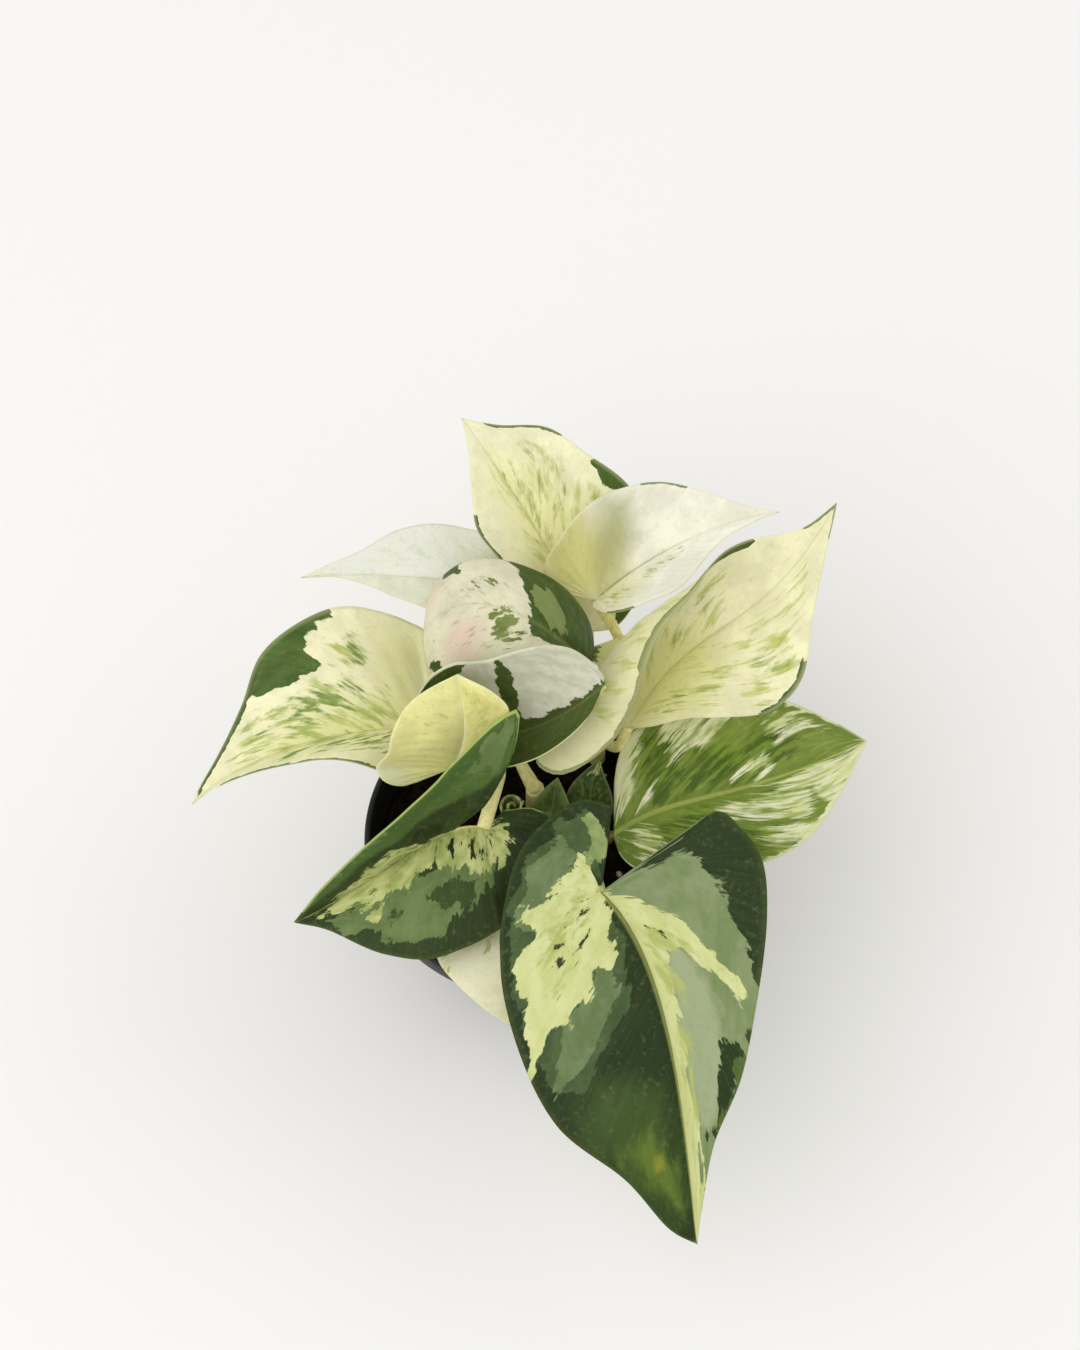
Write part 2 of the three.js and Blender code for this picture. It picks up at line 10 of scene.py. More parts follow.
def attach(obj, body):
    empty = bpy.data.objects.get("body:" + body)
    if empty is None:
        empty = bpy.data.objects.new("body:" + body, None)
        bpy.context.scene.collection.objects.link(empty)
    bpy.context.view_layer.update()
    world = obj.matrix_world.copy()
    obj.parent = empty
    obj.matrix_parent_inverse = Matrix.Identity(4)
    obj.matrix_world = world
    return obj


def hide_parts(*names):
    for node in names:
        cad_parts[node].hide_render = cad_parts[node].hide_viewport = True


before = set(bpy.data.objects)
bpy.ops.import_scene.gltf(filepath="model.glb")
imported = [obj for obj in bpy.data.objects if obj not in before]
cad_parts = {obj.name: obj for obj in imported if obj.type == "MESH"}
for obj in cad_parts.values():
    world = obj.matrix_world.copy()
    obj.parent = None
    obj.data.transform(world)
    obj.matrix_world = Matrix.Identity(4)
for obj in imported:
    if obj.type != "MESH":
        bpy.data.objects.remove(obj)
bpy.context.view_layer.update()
mm = 0.001
up = Vector((0, 0, 1))
tiny = 1e-9
scene = bpy.context.scene


# camera, light and floor

studio = {
    "cameraPlace": (0, -239.4, 735.8),  # mm
    "cameraDown": 65.94,  # degrees below level
    "cameraTurn": 1.27,  # degrees to the right
    "lens": 59.73,
    "sensor": 36,
    "nearest": 0.01,  # metres
    "floorTone": (0.92, 0.91, 0.895, 1),
    "floorRoughness": 0.8,
    "floorReach": 4,  # metres
    "airTone": (1, 0.995, 0.985, 1),
    "airLight": 0.7,
    "lamps": {"key": ((-0.9, -0.5, 1.7), 17, 2.4), "fill": ((1.2, 0.6, 1.3), 4, 1.4)},  # place, watts, width
    "lampAim": (0, 0, 0.1),
}


def addLamp(name, place, power, size):
    lamp = bpy.data.lights.new(name, "AREA")
    lamp.energy = power
    lamp.shape = "DISK"
    lamp.size = size
    thing = bpy.data.objects.new(name, lamp)
    scene.collection.objects.link(thing)
    thing.location = place
    thing.rotation_euler = (Vector(studio["lampAim"]) - Vector(place)).to_track_quat("-Z", "Y").to_euler()


def makeStudio():
    camera = bpy.data.objects.new("camera", bpy.data.cameras.new("camera"))
    camera.data.lens = studio["lens"]
    camera.data.sensor_width = studio["sensor"]
    camera.data.clip_start = studio["nearest"]
    camera.location = Vector(studio["cameraPlace"]) * mm
    tilt = math.radians(90 - studio["cameraDown"])
    camera.rotation_euler = (tilt, 0, -math.radians(studio["cameraTurn"]))
    scene.collection.objects.link(camera)
    scene.camera = camera
    for name, lamp in studio["lamps"].items():
        addLamp(name, *lamp)
    world = bpy.data.worlds.new("air")
    world.use_nodes = True
    air = world.node_tree.nodes["Background"]
    setSockets(air, {"Color": studio["airTone"], "Strength": studio["airLight"]})
    scene.world = world
    scene.view_settings.view_transform = "Standard"
    paper, shader = startMaterial("floor paper")
    setSockets(shader, {"Base Color": studio["floorTone"], "Roughness": studio["floorRoughness"]})
    bm = bmesh.new()
    bmesh.ops.create_grid(bm, x_segments=1, y_segments=1, size=studio["floorReach"])
    toObject(bm, "floor", [paper])
    print("studio made")


# shared helpers

def toObject(bm, name, materials, smooth=True):
    mesh = bpy.data.meshes.new(name)
    for face in bm.faces:
        face.smooth = smooth
    bm.to_mesh(mesh)
    bm.free()
    for material in materials:
        mesh.materials.append(material)
    thing = bpy.data.objects.new(name, mesh)
    scene.collection.objects.link(thing)
    return thing


def finishPiece(thing, slot, *nodes):
    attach(thing, "root")
    if nodes:
        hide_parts(*nodes)


def giveWall(thing, thickness):  # thickens a sheet evenly to both sides
    wall = thing.modifiers.new("wall", "SOLIDIFY")
    wall.thickness = thickness * mm
    wall.offset = 0
    return wall


def linear(tone):  # from bytes as seen to the values that a shader takes
    values = [channel / 255 for channel in tone]
    return tuple(v / 12.92 if v <= 0.04045 else ((v + 0.055) / 1.055) ** 2.4 for v in values) + (1,)


def startMaterial(name):
    material = bpy.data.materials.new(name)
    material.use_nodes = True
    return material, material.node_tree.nodes["Principled BSDF"]


def addNode(tree, kind, **settings):
    node = tree.nodes.new(kind)
    for key, value in settings.items():
        setattr(node, key, value)
    return node


def objectPlace(material):
    return addNode(material.node_tree, "ShaderNodeTexCoord").outputs["Object"]


def setSockets(node, values):
    for key, value in values.items():
        node.inputs[key].default_value = value


def connect(start, end):  # a socket's id_data is its node tree
    end.id_data.links.new(start, end)


def feed(socket, value):
    # numbers and tones are set on the socket, and another node's output is linked to it
    if isinstance(value, (int, float)):
        socket.default_value = value
    elif isinstance(value, tuple):
        socket.default_value = linear(value) if len(value) == 3 else value
    else:
        connect(value, socket)


def addNoise(vector, scale, detail, shift):
    place = addNode(vector.id_data, "ShaderNodeMapping")
    setSockets(place, {"Location": shift, "Scale": scale})
    connect(vector, place.inputs["Vector"])
    cloud = addNode(vector.id_data, "ShaderNodeTexNoise")
    setSockets(cloud, {"Scale": 1, "Detail": detail, "Roughness": 0.6})
    connect(place.outputs["Vector"], cloud.inputs["Vector"])
    return cloud.outputs["Fac"]


def addMath(operation, first, second, clamp=False):
    node = addNode(first.id_data, "ShaderNodeMath", operation=operation, use_clamp=clamp)
    feed(node.inputs[0], first)
    feed(node.inputs[1], second)
    return node.outputs["Value"]


def addTimes(first, second, clamp=False):
    return addMath("MULTIPLY", first, second, clamp)


def addMix(share, first, second):
    tree = first.id_data if isinstance(share, float) else share.id_data
    node = addNode(tree, "ShaderNodeMix", data_type="RGBA")
    for key, value in (("Factor", share), ("A", first), ("B", second)):
        feed(node.inputs[key], value)
    return node.outputs["Result"]


def addStep(value, limits):
    node = addNode(value.id_data, "ShaderNodeMapRange", interpolation_type="SMOOTHSTEP")
    connect(value, node.inputs["Value"])
    setSockets(node, {"From Min": limits[0], "From Max": limits[1]})
    return node.outputs["Result"]


def addBlend(pattern, limits, first, second):  # two tones, parted where the pattern says
    return addMix(addStep(pattern, limits), first, second)


def layOver(colour, pattern, share, tone):  # a tone over a colour, where the pattern says
    return addMix(addTimes(pattern, share), colour, tone)


def finishMaterial(material, shader, colour, values, height, bumps):
    # the colour, the values that are the same all over, and bumps given by strength and depth in metres
    connect(colour, shader.inputs["Base Color"])
    setSockets(shader, values)
    bump = addNode(height.id_data, "ShaderNodeBump")
    setSockets(bump, {"Strength": bumps[0], "Distance": bumps[1]})
    connect(height, bump.inputs["Height"])
    connect(bump.outputs["Normal"], shader.inputs["Normal"])
    return material


def twoToneMaterial(name, skin):
    # two tones parted by one noise, which gives the bumps too, and flecks where the skin names them
    material, shader = startMaterial(name)
    place = objectPlace(material)
    pattern = addNoise(place, *skin["noise"])
    colour = addBlend(pattern, skin["limits"], *skin["tones"])
    if "flecks" in skin:
        flecks, limits, share, tone = skin["flecks"]
        colour = layOver(colour, addStep(addNoise(place, *flecks), limits), share, tone)
    return finishMaterial(material, shader, colour, skin["shader"], pattern, skin["bump"])


def gridShares(bm, across, along):
    # a grid's vertices, each with its shares of the way across and along
    made = bmesh.ops.create_grid(bm, x_segments=across, y_segments=along, size=0.5)["verts"]
    return [(vert, vert.co.x + 0.5, vert.co.y + 0.5) for vert in made]


def throughPoints(rows, share):
    # a smooth curve through all the rows, ending at the first and the last
    last = len(rows) - 1
    place = min(share * last, last - tiny)
    i = int(place)
    f = place - i
    found = []
    for k, value in enumerate(rows[i]):
        after = rows[i + 1][k]
        before = rows[i - 1][k] if i > 0 else 2 * value - after
        beyond = rows[i + 2][k] if i + 2 <= last else 2 * after - value
        cubic = (3 * value - before - 3 * after + beyond) * f ** 3
        square = (2 * before - 5 * value + 4 * after - beyond) * f * f
        found.append(0.5 * (2 * value + (after - before) * f + square + cubic))
    return found


def sweepTube(bm, points, radiusAt, sides, steps):
    # a round tube through points in mm, closed at both ends
    path = [Vector(throughPoints(points, i / steps)) for i in range(steps + 1)]
    ahead = (path[1] - path[0]).normalized()
    across = ahead.orthogonal().normalized()
    frames = []
    for i, place in enumerate(path):
        ahead = (path[min(i + 1, steps)] - path[max(i - 1, 0)]).normalized()
        across = (across - ahead * across.dot(ahead)).normalized()
        frames.append((place, across.copy(), ahead.cross(across)))
    grid = gridShares(bm, steps, sides)
    for vert, share, turn in grid:
        i = round(share * steps)
        angle = 2 * math.pi * turn
        place, side, other = frames[i]
        radius = radiusAt(i / steps, angle)
        vert.co = (place + side * radius * math.cos(angle) + other * radius * math.sin(angle)) * mm
    bmesh.ops.remove_doubles(bm, verts=[row[0] for row in grid], dist=1e-7)
    bmesh.ops.holes_fill(bm, edges=[edge for edge in bm.edges if edge.is_boundary], sides=0)


# leaf blades

blade = {
    "rows": 80, "lobeRows": 18, "columns": 30,
    "rowSweep": 1.9, "columnSweep": 1.25, "lobeShare": 0.45,
    "chordShare": 0.7,  # how far cross sections follow the straight line from base to tip
    "thickness": 0.6,  # mm, away from the margin
    "marginShare": 0.4, "marginReach": 2.5,  # how thin the margin is, and how fast the blade grows thicker
    "quilts": 9, "quiltDepth": 0.14, "quiltedWidth": 35,
    "grooveDepth": 0.5, "grooveWidth": 1.3, "grooveStart": 4, "grooveTaper": 0.7,
}

ribTube = {
    "places": 12, "reach": 0.97, "drop": 0.35, "sink": 0.8, "taper": 1.4,
    "tip": 0.2, "swell": 0.72, "sides": 12, "steps": 44,
}


def smoothShare(share):
    return share * share * (3 - 2 * share)


def blendThree(values, share):
    x = min(max(share, 0), 1)
    if x < 0.5:
        return values[0] + (values[1] - values[0]) * smoothShare(x * 2)
    return values[1] + (values[2] - values[1]) * smoothShare(x * 2 - 1)


def makeRib(points):
    # the midrib's length and its frame at any place, on a cubic through four points
    p = [Vector(point) for point in points]
    steps, nudge = 200, 0.001

    def at(t):
        a = 3 * t
        return (p[0] * (-(a - 1) * (a - 2) * (a - 3) / 6) + p[1] * (a * (a - 2) * (a - 3) / 2)
                + p[2] * (-a * (a - 1) * (a - 3) / 2) + p[3] * (a * (a - 1) * (a - 2) / 6))

    lengths = [0]
    for i in range(steps):
        lengths.append(lengths[-1] + (at((i + 1) / steps) - at(i / steps)).length)
    chord = (p[3] - p[0]).normalized()

    def frameAt(x):
        t = float(np.interp(min(max(x, 0), lengths[-1]), lengths, np.linspace(0, 1, steps + 1)))
        tangent = (at(t + nudge) - at(t - nudge)).normalized()
        along = (tangent * (1 - blade["chordShare"]) + chord * blade["chordShare"]).normalized()
        side = along.cross(up).normalized()
        return at(t) + along * min(x, 0), side, side.cross(along)

    return lengths[-1], frameAt


def sideRows(leaf, length, side):
    # each row runs from its foot on the rib out to the margin, from the base lobe to the tip
    count, sweep, step = blade["rows"], blade["rowSweep"], 0.0025
    bareRows = round(count * leaf[side].get("bare", 0))  # the rib's first part can be bare
    first = length * (bareRows / count) ** sweep
    rows = [(x, y, first + (length - first) * (max(x, 0) / length) ** sweep) for x, y in leaf[side]["edge"]]
    rows.append((length, 0, length))
    start = 1.0
    while start > 0 and throughPoints(rows, start)[2] > first + 0.001:
        start -= step
    start = max(start, 0)
    found = []
    if start > 0:
        for i in range(blade["lobeRows"]):
            share = i / blade["lobeRows"]
            place = bareRows / count + blade["lobeShare"] * (share - 1)
            found.append((place, first, throughPoints(rows, start * share)))
    for i in range(bareRows, count + 1):
        foot = length * (i / count) ** sweep
        low, high = start, 1
        for _ in range(30):  # halves the gap until the margin's point for this foot is found
            middle = (low + high) / 2
            if throughPoints(rows, middle)[2] < foot:
                low = middle
            else:
                high = middle
        found.append((i / count, foot, throughPoints(rows, 1 if i == count else low)))
    return found


def shapeSide(bm, leaf, length, frameAt, side, layers):
    turn = 1 if side == "right" else -1
    rows = sideRows(leaf, length, side)
    widest = max(point[1] for point in leaf[side]["edge"])
    quiltDepth = blade["quiltDepth"] * min(1, widest / blade["quiltedWidth"])
    size, count, phase = leaf["wave"]
    grid = gridShares(bm, len(rows) - 1, blade["columns"])
    faces = {face for vert, _, _ in grid for face in vert.link_faces}
    for vert, rowShare, columnShare in grid:
        share, foot, margin = rows[round(rowShare * (len(rows) - 1))]
        t = columnShare ** blade["columnSweep"]
        x = foot + (margin[0] - foot) * t
        out = margin[1] * t
        place, across, normal = frameAt(x)
        fold = math.radians(blendThree(leaf[side]["fold"], x / length))
        bend = math.radians(blendThree(leaf[side].get("curl", (0, 0, 0)), x / length)) / widest
        u, w = out * math.cos(fold), out * math.sin(fold)
        if abs(bend) > 1e-6 and out > 0:
            u = (math.sin(fold + bend * out) - math.sin(fold)) / bend
            w = (math.cos(fold) - math.cos(fold + bend * out)) / bend
        leaning = fold + bend * out  # how far the surface has turned here
        wave = size * (out / widest) ** 2 * math.sin(2 * math.pi * count * x / length + phase + turn)
        relief = quiltDepth * math.cos(2 * math.pi * blade["quilts"] * share) * math.sin(math.pi * t)
        taper = 1 - blade["grooveTaper"] * max(x, 0) / length
        groove = blade["grooveDepth"] * taper * math.exp(-(out / blade["grooveWidth"]) ** 2)
        relief -= groove * min(1, max(0, x) / blade["grooveStart"])
        surface = normal * math.cos(leaning) - across * turn * math.sin(leaning)
        vert.co = (place + across * u * turn + normal * (w + wave) + surface * relief) * mm
        vert[layers["flat"]] = (x, out * turn, (1 - t) * math.hypot(margin[0] - foot, margin[1]))
        vert[layers["leafSpace"]] = (share - leaf["sweep"] * t, t * turn, 0)
    if turn == 1:
        bmesh.ops.reverse_faces(bm, faces=list(faces))


def makeLeaf(name, leaf, seed):
    length, frameAt = makeRib(leaf["rib"])
    bm = bmesh.new()
    layers = {key: bm.verts.layers.float_vector.new(key) for key in ("flat", "leafSpace")}
    shapeSide(bm, leaf, length, frameAt, "right", layers)
    shapeSide(bm, leaf, length, frameAt, "left", layers)
    bmesh.ops.remove_doubles(bm, verts=bm.verts[:], dist=2e-6)
    bmesh.ops.dissolve_degenerate(bm, edges=bm.edges[:], dist=1e-7)
    weights = bm.verts.layers.deform.new()
    for vert in bm.verts:
        gap = vert[layers["flat"]][2]
        vert[weights][0] = min(1, blade["marginShare"] + gap / blade["marginReach"])
    top = leafMaterial(name + " top", leaf, seed)
    under = leafMaterial(name + " under", leaf, seed, under=True)
    thing = toObject(bm, name + "_blade", [top, under])
    writeMarks(thing.data, leaf, length)
    thing.vertex_groups.new(name="body")
    wall = giveWall(thing, blade["thickness"])
    wall.vertex_group = "body"
    wall.material_offset = 1
    finishPiece(thing, name, name)
    makeRibTube(name, leaf["stalk"], length, frameAt)


def makeRibTube(name, thick, length, frameAt):
    # the raised rib under the blade, nearly as thick as the stalk where it starts
    r = ribTube
    points = []
    for i in range(r["places"] + 1):
        place, _, normal = frameAt(length * r["reach"] * i / r["places"])
        points.append(place + normal * (-r["drop"] - r["sink"] * thick * (1 - i / r["places"]) ** r["taper"]))
    bm = bmesh.new()
    sweepTube(bm, points, lambda share, angle: r["tip"] + thick * r["swell"] * (1 - share) ** r["taper"],
              r["sides"], r["steps"])
    finishPiece(toObject(bm, name + "_rib", [stalkMaterials["pale"]]), name)


# markings on the leaves, laid one over the other with the first one lowest. Most are the leaves' own
# variegation; some are painted shade

marks = {
    "coarse": (15, 3.4), "fine": (60, 10), "drift": (9, 5, 1),  # scales of the noise, across and along veins
    "coarseShare": 1.5, "fineShare": 0.25,
    "nearby": 5,  # keeps stray flecks from falling far from a mark
    "rimEnds": 2, "rimBlur": 1.2,  # mm
}

usualMark = {
    "blur": 3.5,  # mm, over which a patch fades at its outline
    "jag": 1.2, "sharp": 0.05,  # how ragged and how soft the edge is
    "grain": 1, "streak": 1,  # how fine the ragged edge is, and how far it runs along the veins
    "strength": 1, "half": "both", "rims": (),
}

usualLeaf = {
    "sweep": 0.12,  # how far the veins lean towards the tip
    "ribWidth": 0.9, "ribShow": 0.55, "ribTone": (196, 202, 120), "veinShow": 0.06,
    "marginShow": 0.35, "marginTone": (222, 224, 170), "underTone": (205, 212, 165),
}

leafSkin = {
    "cloud": (90, 90, 90), "cloudShade": 0.86, "softly": (0.35, 0.65),
    "veins": (64, 1.4, 1), "veinLimits": (0.42, 0.66), "veinTone": (150, 160, 92),
    "speck": (520, 520, 520),
    "paleSpeck": ((0.54, 0.7), 0.07, (206, 214, 150)),  # limits, share and tone
    "darkSpeck": ((0.46, 0.3), 0.1, (60, 78, 34)),
    "ribTaper": 0.75, "ribEdge": 1.4,
    "marginWidth": 0.7, "marginEdge": 1.2,
    "underShare": 0.35,  # how much of its pale tone the underside shows
    "threads": (140, 12, 1), "pores": (1500, 1500, 1500), "poreShare": 0.35,
    "bump": (0.35, 0.0004),
    "roughness": 0.42, "underRoughness": 0.6,
    "shader": {
        "Specular IOR Level": 0.14, "Subsurface Weight": 0.12,
        "Subsurface Radius": (1.0, 0.8, 0.3), "Subsurface Scale": 0.001},
}


def marking(tone, *patches, **settings):
    # one mark: its tone, its patches as (strength, outline), and what differs from a usual mark
    return {"tone": tone, "other": tone, "patches": patches, **usualMark, **settings}


def patchField(x, y, outline, blur):
    # 1 well inside the outline, 0 well outside it, 0.5 on it
    inside = np.zeros(len(x), bool)
    nearest = np.full(len(x), np.inf)
    for (x0, y0), (x1, y1) in zip(outline, outline[1:] + outline[:1]):
        dx, dy = x1 - x0, y1 - y0
        share = np.clip(((x - x0) * dx + (y - y0) * dy) / (dx * dx + dy * dy), 0, 1)
        nearest = np.minimum(nearest, np.hypot(x - x0 - share * dx, y - y0 - share * dy))
        crosses = (y0 > y) != (y1 > y)
        inside ^= crosses & (x < dx * (y - y0) / (dy or tiny) + x0)
    return np.clip(0.5 + np.where(inside, nearest, -nearest) / (2 * blur), 0, 1)


def rimField(x, y, gap, rim):
    # a band along one margin, given by its side, its start, its end and its width
    side, start, end, width = rim
    turn = 1 if side == "right" else -1
    starts = np.clip((x - start) / marks["rimEnds"] + 0.5, 0, 1)
    ends = np.clip((end - x) / marks["rimEnds"] + 0.5, 0, 1)
    return np.clip(0.5 + (width - gap) / marks["rimBlur"], 0, 1) * (starts * ends) * (y * turn > 0)


def writeField(mesh, name, field):
    mesh.attributes.new(name, "FLOAT", "POINT").data.foreach_set("value", field.astype(np.float32))


def writeMarks(mesh, leaf, length):
    flat = np.empty(len(mesh.vertices) * 3, np.float32)
    mesh.attributes["flat"].data.foreach_get("vector", flat)
    x, y, gap = flat.reshape(-1, 3).T
    halves = {"both": 1, "right": y > 0, "left": y < 0}
    for i, mark in enumerate(leaf["marks"]):
        fields = [level * patchField(x, y, outline, mark["blur"]) for level, outline in mark["patches"]]
        fields += [rimField(x, y, gap, rim) for rim in mark["rims"]]
        writeField(mesh, f"mark{i}", np.max(fields, axis=0) * halves[mark["half"]])
    width = leaf["ribWidth"] * (1 - leafSkin["ribTaper"] * np.clip(x, 0, length) / length)
    writeField(mesh, "rib", np.clip(leafSkin["ribEdge"] - np.abs(y) / width, 0, 1) * (x > 0))
    writeField(mesh, "margin", np.clip(leafSkin["marginEdge"] - gap / leafSkin["marginWidth"], 0, 1))


def readField(tree, name, output="Fac"):
    return addNode(tree, "ShaderNodeAttribute", attribute_name=name).outputs[output]


def layMark(colour, space, mark, i, seed):
    # one mark over the colour, with its edge made ragged by noise that runs along the veins
    field = readField(space.id_data, f"mark{i}")
    grain, streak, jag, sharp = [mark[key] for key in ("grain", "streak", "jag", "sharp")]
    (across, along), (fineAcross, fineAlong) = marks["coarse"], marks["fine"]
    scale = (across * grain * streak, along * grain / streak, 1)
    coarse = addNoise(space, scale, 4, (seed + 7 * i, 3 * i, 0))
    fine = addNoise(space, (fineAcross * grain, fineAlong * grain, 1), 2, (seed + 5 * i, i, 0))
    drift = addNoise(space, marks["drift"], 2, (seed + 3 * i, 2 * i, 0))
    ragged = addMath("ADD", addTimes(coarse, jag * marks["coarseShare"]),
                     addTimes(fine, jag * marks["fineShare"]))
    ragged = addMath("SUBTRACT", ragged, jag * (marks["coarseShare"] + marks["fineShare"]) / 2)
    near = addTimes(field, marks["nearby"], clamp=True)
    value = addMath("ADD", field, addTimes(ragged, near))
    share = addStep(value, (0.5 - sharp, 0.5 + sharp))
    tone = addBlend(drift, leafSkin["softly"], mark["tone"], mark["other"])
    return layOver(colour, share, mark["strength"], tone)


def leafMaterial(name, leaf, seed, under=False):
    # the base tone, each mark in turn, then veins, specks, rib and margin
    skin = leafSkin
    material, shader = startMaterial(name)
    space = readField(material.node_tree, "leafSpace", "Vector")
    place = objectPlace(material)
    cloud = addNoise(place, skin["cloud"], 3, (seed, 0, 0))
    ground = linear(leaf["ground"])
    darker = tuple(v * skin["cloudShade"] for v in ground[:3]) + (1,)
    colour = addBlend(cloud, skin["softly"], darker, ground)
    for i, mark in enumerate(leaf["marks"]):
        colour = layMark(colour, space, mark, i, seed)
    veins = addStep(addNoise(space, skin["veins"], 2, (seed, 4, 0)), skin["veinLimits"])
    colour = layOver(colour, veins, leaf["veinShow"], skin["veinTone"])
    speck = addNoise(place, skin["speck"], 5, (0, seed, 3))
    for limits, share, tone in (skin["paleSpeck"], skin["darkSpeck"]):
        colour = layOver(colour, addStep(speck, limits), share, tone)
    for line in ("rib", "margin"):
        field = readField(material.node_tree, line)
        colour = layOver(colour, field, leaf[line + "Show"], leaf[line + "Tone"])
    if under:
        colour = addMix(skin["underShare"], colour, leaf["underTone"])
    threads = addNoise(space, skin["threads"], 3, (seed, 9, 0))
    pores = addNoise(place, skin["pores"], 2, (0, 0, 0))
    height = addMath("ADD", threads, addTimes(pores, skin["poreShare"]))
    values = {"Roughness": skin["underRoughness"] if under else skin["roughness"], **skin["shader"]}
    return finishMaterial(material, shader, colour, values, height, skin["bump"])


# each leaf, in mm: points that its midrib passes, its outline along the rib and out from it, and how it folds
# and curls, in degrees at the base, the middle and the tip. a mark's outline is given as the leaf's is, with
# the right side positive.

darkGreen = (38, 56, 22)
deepGreen = (28, 43, 16)
butter = (203, 208, 138)
cream = (248, 244, 202)

leaves = {}
markings = {}

leaves["front"] = {
    "rib": [(23, -27, 100), (38, -55, 97), (45, -91, 86), (49, -124, 62)],
    "right": {
        "edge": [(-22, -14), (-28, -4), (-22, 16), (-4, 31), (18, 42), (42, 44), (66, 37), (86, 19),
                 (104, 8)],
        "fold": (-5, -5, 0), "curl": (0, -10, -10)},
    "left": {
        "edge": [(-4, 30), (-7, 44), (5, 48), (22, 42), (42, 33), (62, 23), (80, 10), (100, 3)],
        "fold": (35, 48, 45), "curl": (-10, -10, 0)},
    "wave": (0.8, 3, 0.4), "stalk": 1.7, "ribWidth": 1.0, "veinShow": 0.035,
    "ground": darkGreen,
    "marginTone": (150, 168, 90), "marginShow": 0.12,
}

markings["front"] = [
    marking((62, 84, 34), (1, [(62, 6), (96, 2), (104, 6), (84, 18), (66, 32), (56, 24)]),
        blur=9, jag=0.5, sharp=0.4),
    marking((104, 124, 46), (0.9, [(74, 10), (86, 4), (98, 4), (88, 13), (76, 20)]),
        blur=5, jag=0.9, sharp=0.35, strength=0.8),
    marking((148, 150, 46), (1, [(81, 7), (85, 7), (86, 10), (81, 10)]),
        blur=2, jag=0.3, sharp=0.3, strength=0.7),
    marking((78, 98, 58),
        (1, [(-24, -6), (-24, 4), (-18, 16), (-6, 27), (4, 33), (18, 39), (34, 41), (54, 38), (58, 28),
             (48, 20), (36, 9), (20, 3), (-2, 2), (-12, -6)]), other=(64, 84, 46), jag=1.4, blur=3),
    marking((116, 134, 92),
        (1, [(-20, 2), (-18, 12), (-10, 22), (-2, 27), (4, 24), (-4, 16), (-8, 6), (-14, 2)]),
        (1, [(20, 12), (28, 20), (34, 26), (46, 34), (58, 37), (52, 28), (40, 18), (28, 10)]),
        other=(100, 120, 74), jag=1.6, blur=2.5),
    marking((138, 152, 108),
        (1, [(-2, 4), (-2, -20), (-1, -30), (12, -35), (24, -37), (40, -36), (62, -27), (84, -10),
             (104, -1), (110, 4), (20, 4)]), other=(122, 140, 90), jag=1.3, half="left"),
    marking((164, 174, 134),
        (1, [(18, -10), (30, -16), (44, -20), (60, -18), (76, -9), (60, -4), (30, -5)]), blur=4, sharp=0.3),
    marking(darkGreen,
        (1, [(-8, -36), (-4, -31), (10, -33), (22, -30), (30, -33), (38, -36), (30, -44), (4, -50),
             (-8, -46)]),
        (0.85, [(50, -30), (52, -19), (60, -15), (70, -12), (78, -8), (80, -14), (64, -26)]), jag=1.5),
    marking((78, 102, 46), (0.6, [(44, -34), (60, -20), (74, -12), (80, -12), (62, -28)]), jag=1.5, blur=2),
    marking(butter,
        (1, [(-12, 2), (-9, 10), (-5, 17), (-6, 24), (-2, 27), (2, 24), (8, 31), (15, 37), (24, 38),
             (34, 41), (50, 43), (44, 38), (35, 34), (38, 28), (31, 25), (30, 18), (22, 15), (24, 10),
             (14, 5), (6, 2), (-2, -3), (-12, -3)]),
        other=(216, 220, 158), jag=1.7, blur=2.8, half="right"),
    marking(butter,
        (1, [(-2, 4), (2, -4), (10, -10), (17, -16), (24, -20), (32, -26), (41, -31), (44, -28),
             (36, -22), (30, -17), (22, -13), (24, -8), (34, -5), (70, -6), (92, -5), (112, -3), (112, 4),
             (40, 4)]), other=(216, 220, 158), jag=1.5, blur=2.8, half="left"),
    marking((128, 148, 90), (1, [(-9, -6), (-16, -9), (-23, -7), (-22, -4), (-15, -4), (-9, 2)]),
        other=(154, 170, 106), jag=1.5, blur=2),
    marking((182, 190, 112), (0.4, [(-6, 4), (6, 6), (20, 18), (30, 30), (20, 34), (4, 26)]),
        (0.4, [(4, -4), (36, -24), (30, -12), (100, -3), (20, -2)]), jag=1.6, blur=2, sharp=0.2),
    marking((52, 66, 34), (0.3, [(-4, 4), (6, 4), (22, 20), (20, 30), (6, 22)]),
        (0.3, [(4, -3), (26, -16), (20, -5)]), jag=1.6, grain=2, blur=2),
]

leaves["front_left"] = {
    "rib": [(-12, -3, 92), (-28, -8, 95), (-48, -20, 93), (-70, -29, 84)],
    "right": {
        "edge": [(9, 3), (4, 12), (-2, 21), (-8, 31), (-13, 41), (-15, 51),
                 (-2, 45), (10, 33), (22, 27), (36, 23), (48, 15), (58, 7)],
        "fold": (100, 100, 80), "curl": (-60, -60, -50), "bare": 0.4},
    "left": {
        "edge": [(-8, -4), (-18, -1), (-23, 12), (-12, 26), (8, 33), (30, 32), (45, 22), (57, 7)],
        "fold": (0, 0, 0), "curl": (-20, -20, -20)},
    "wave": (0.6, 3, 1.1), "stalk": 1.8, "veinShow": 0.04,
    "ground": (50, 66, 30),
    "marginTone": (150, 168, 84), "marginShow": 0.15,
}

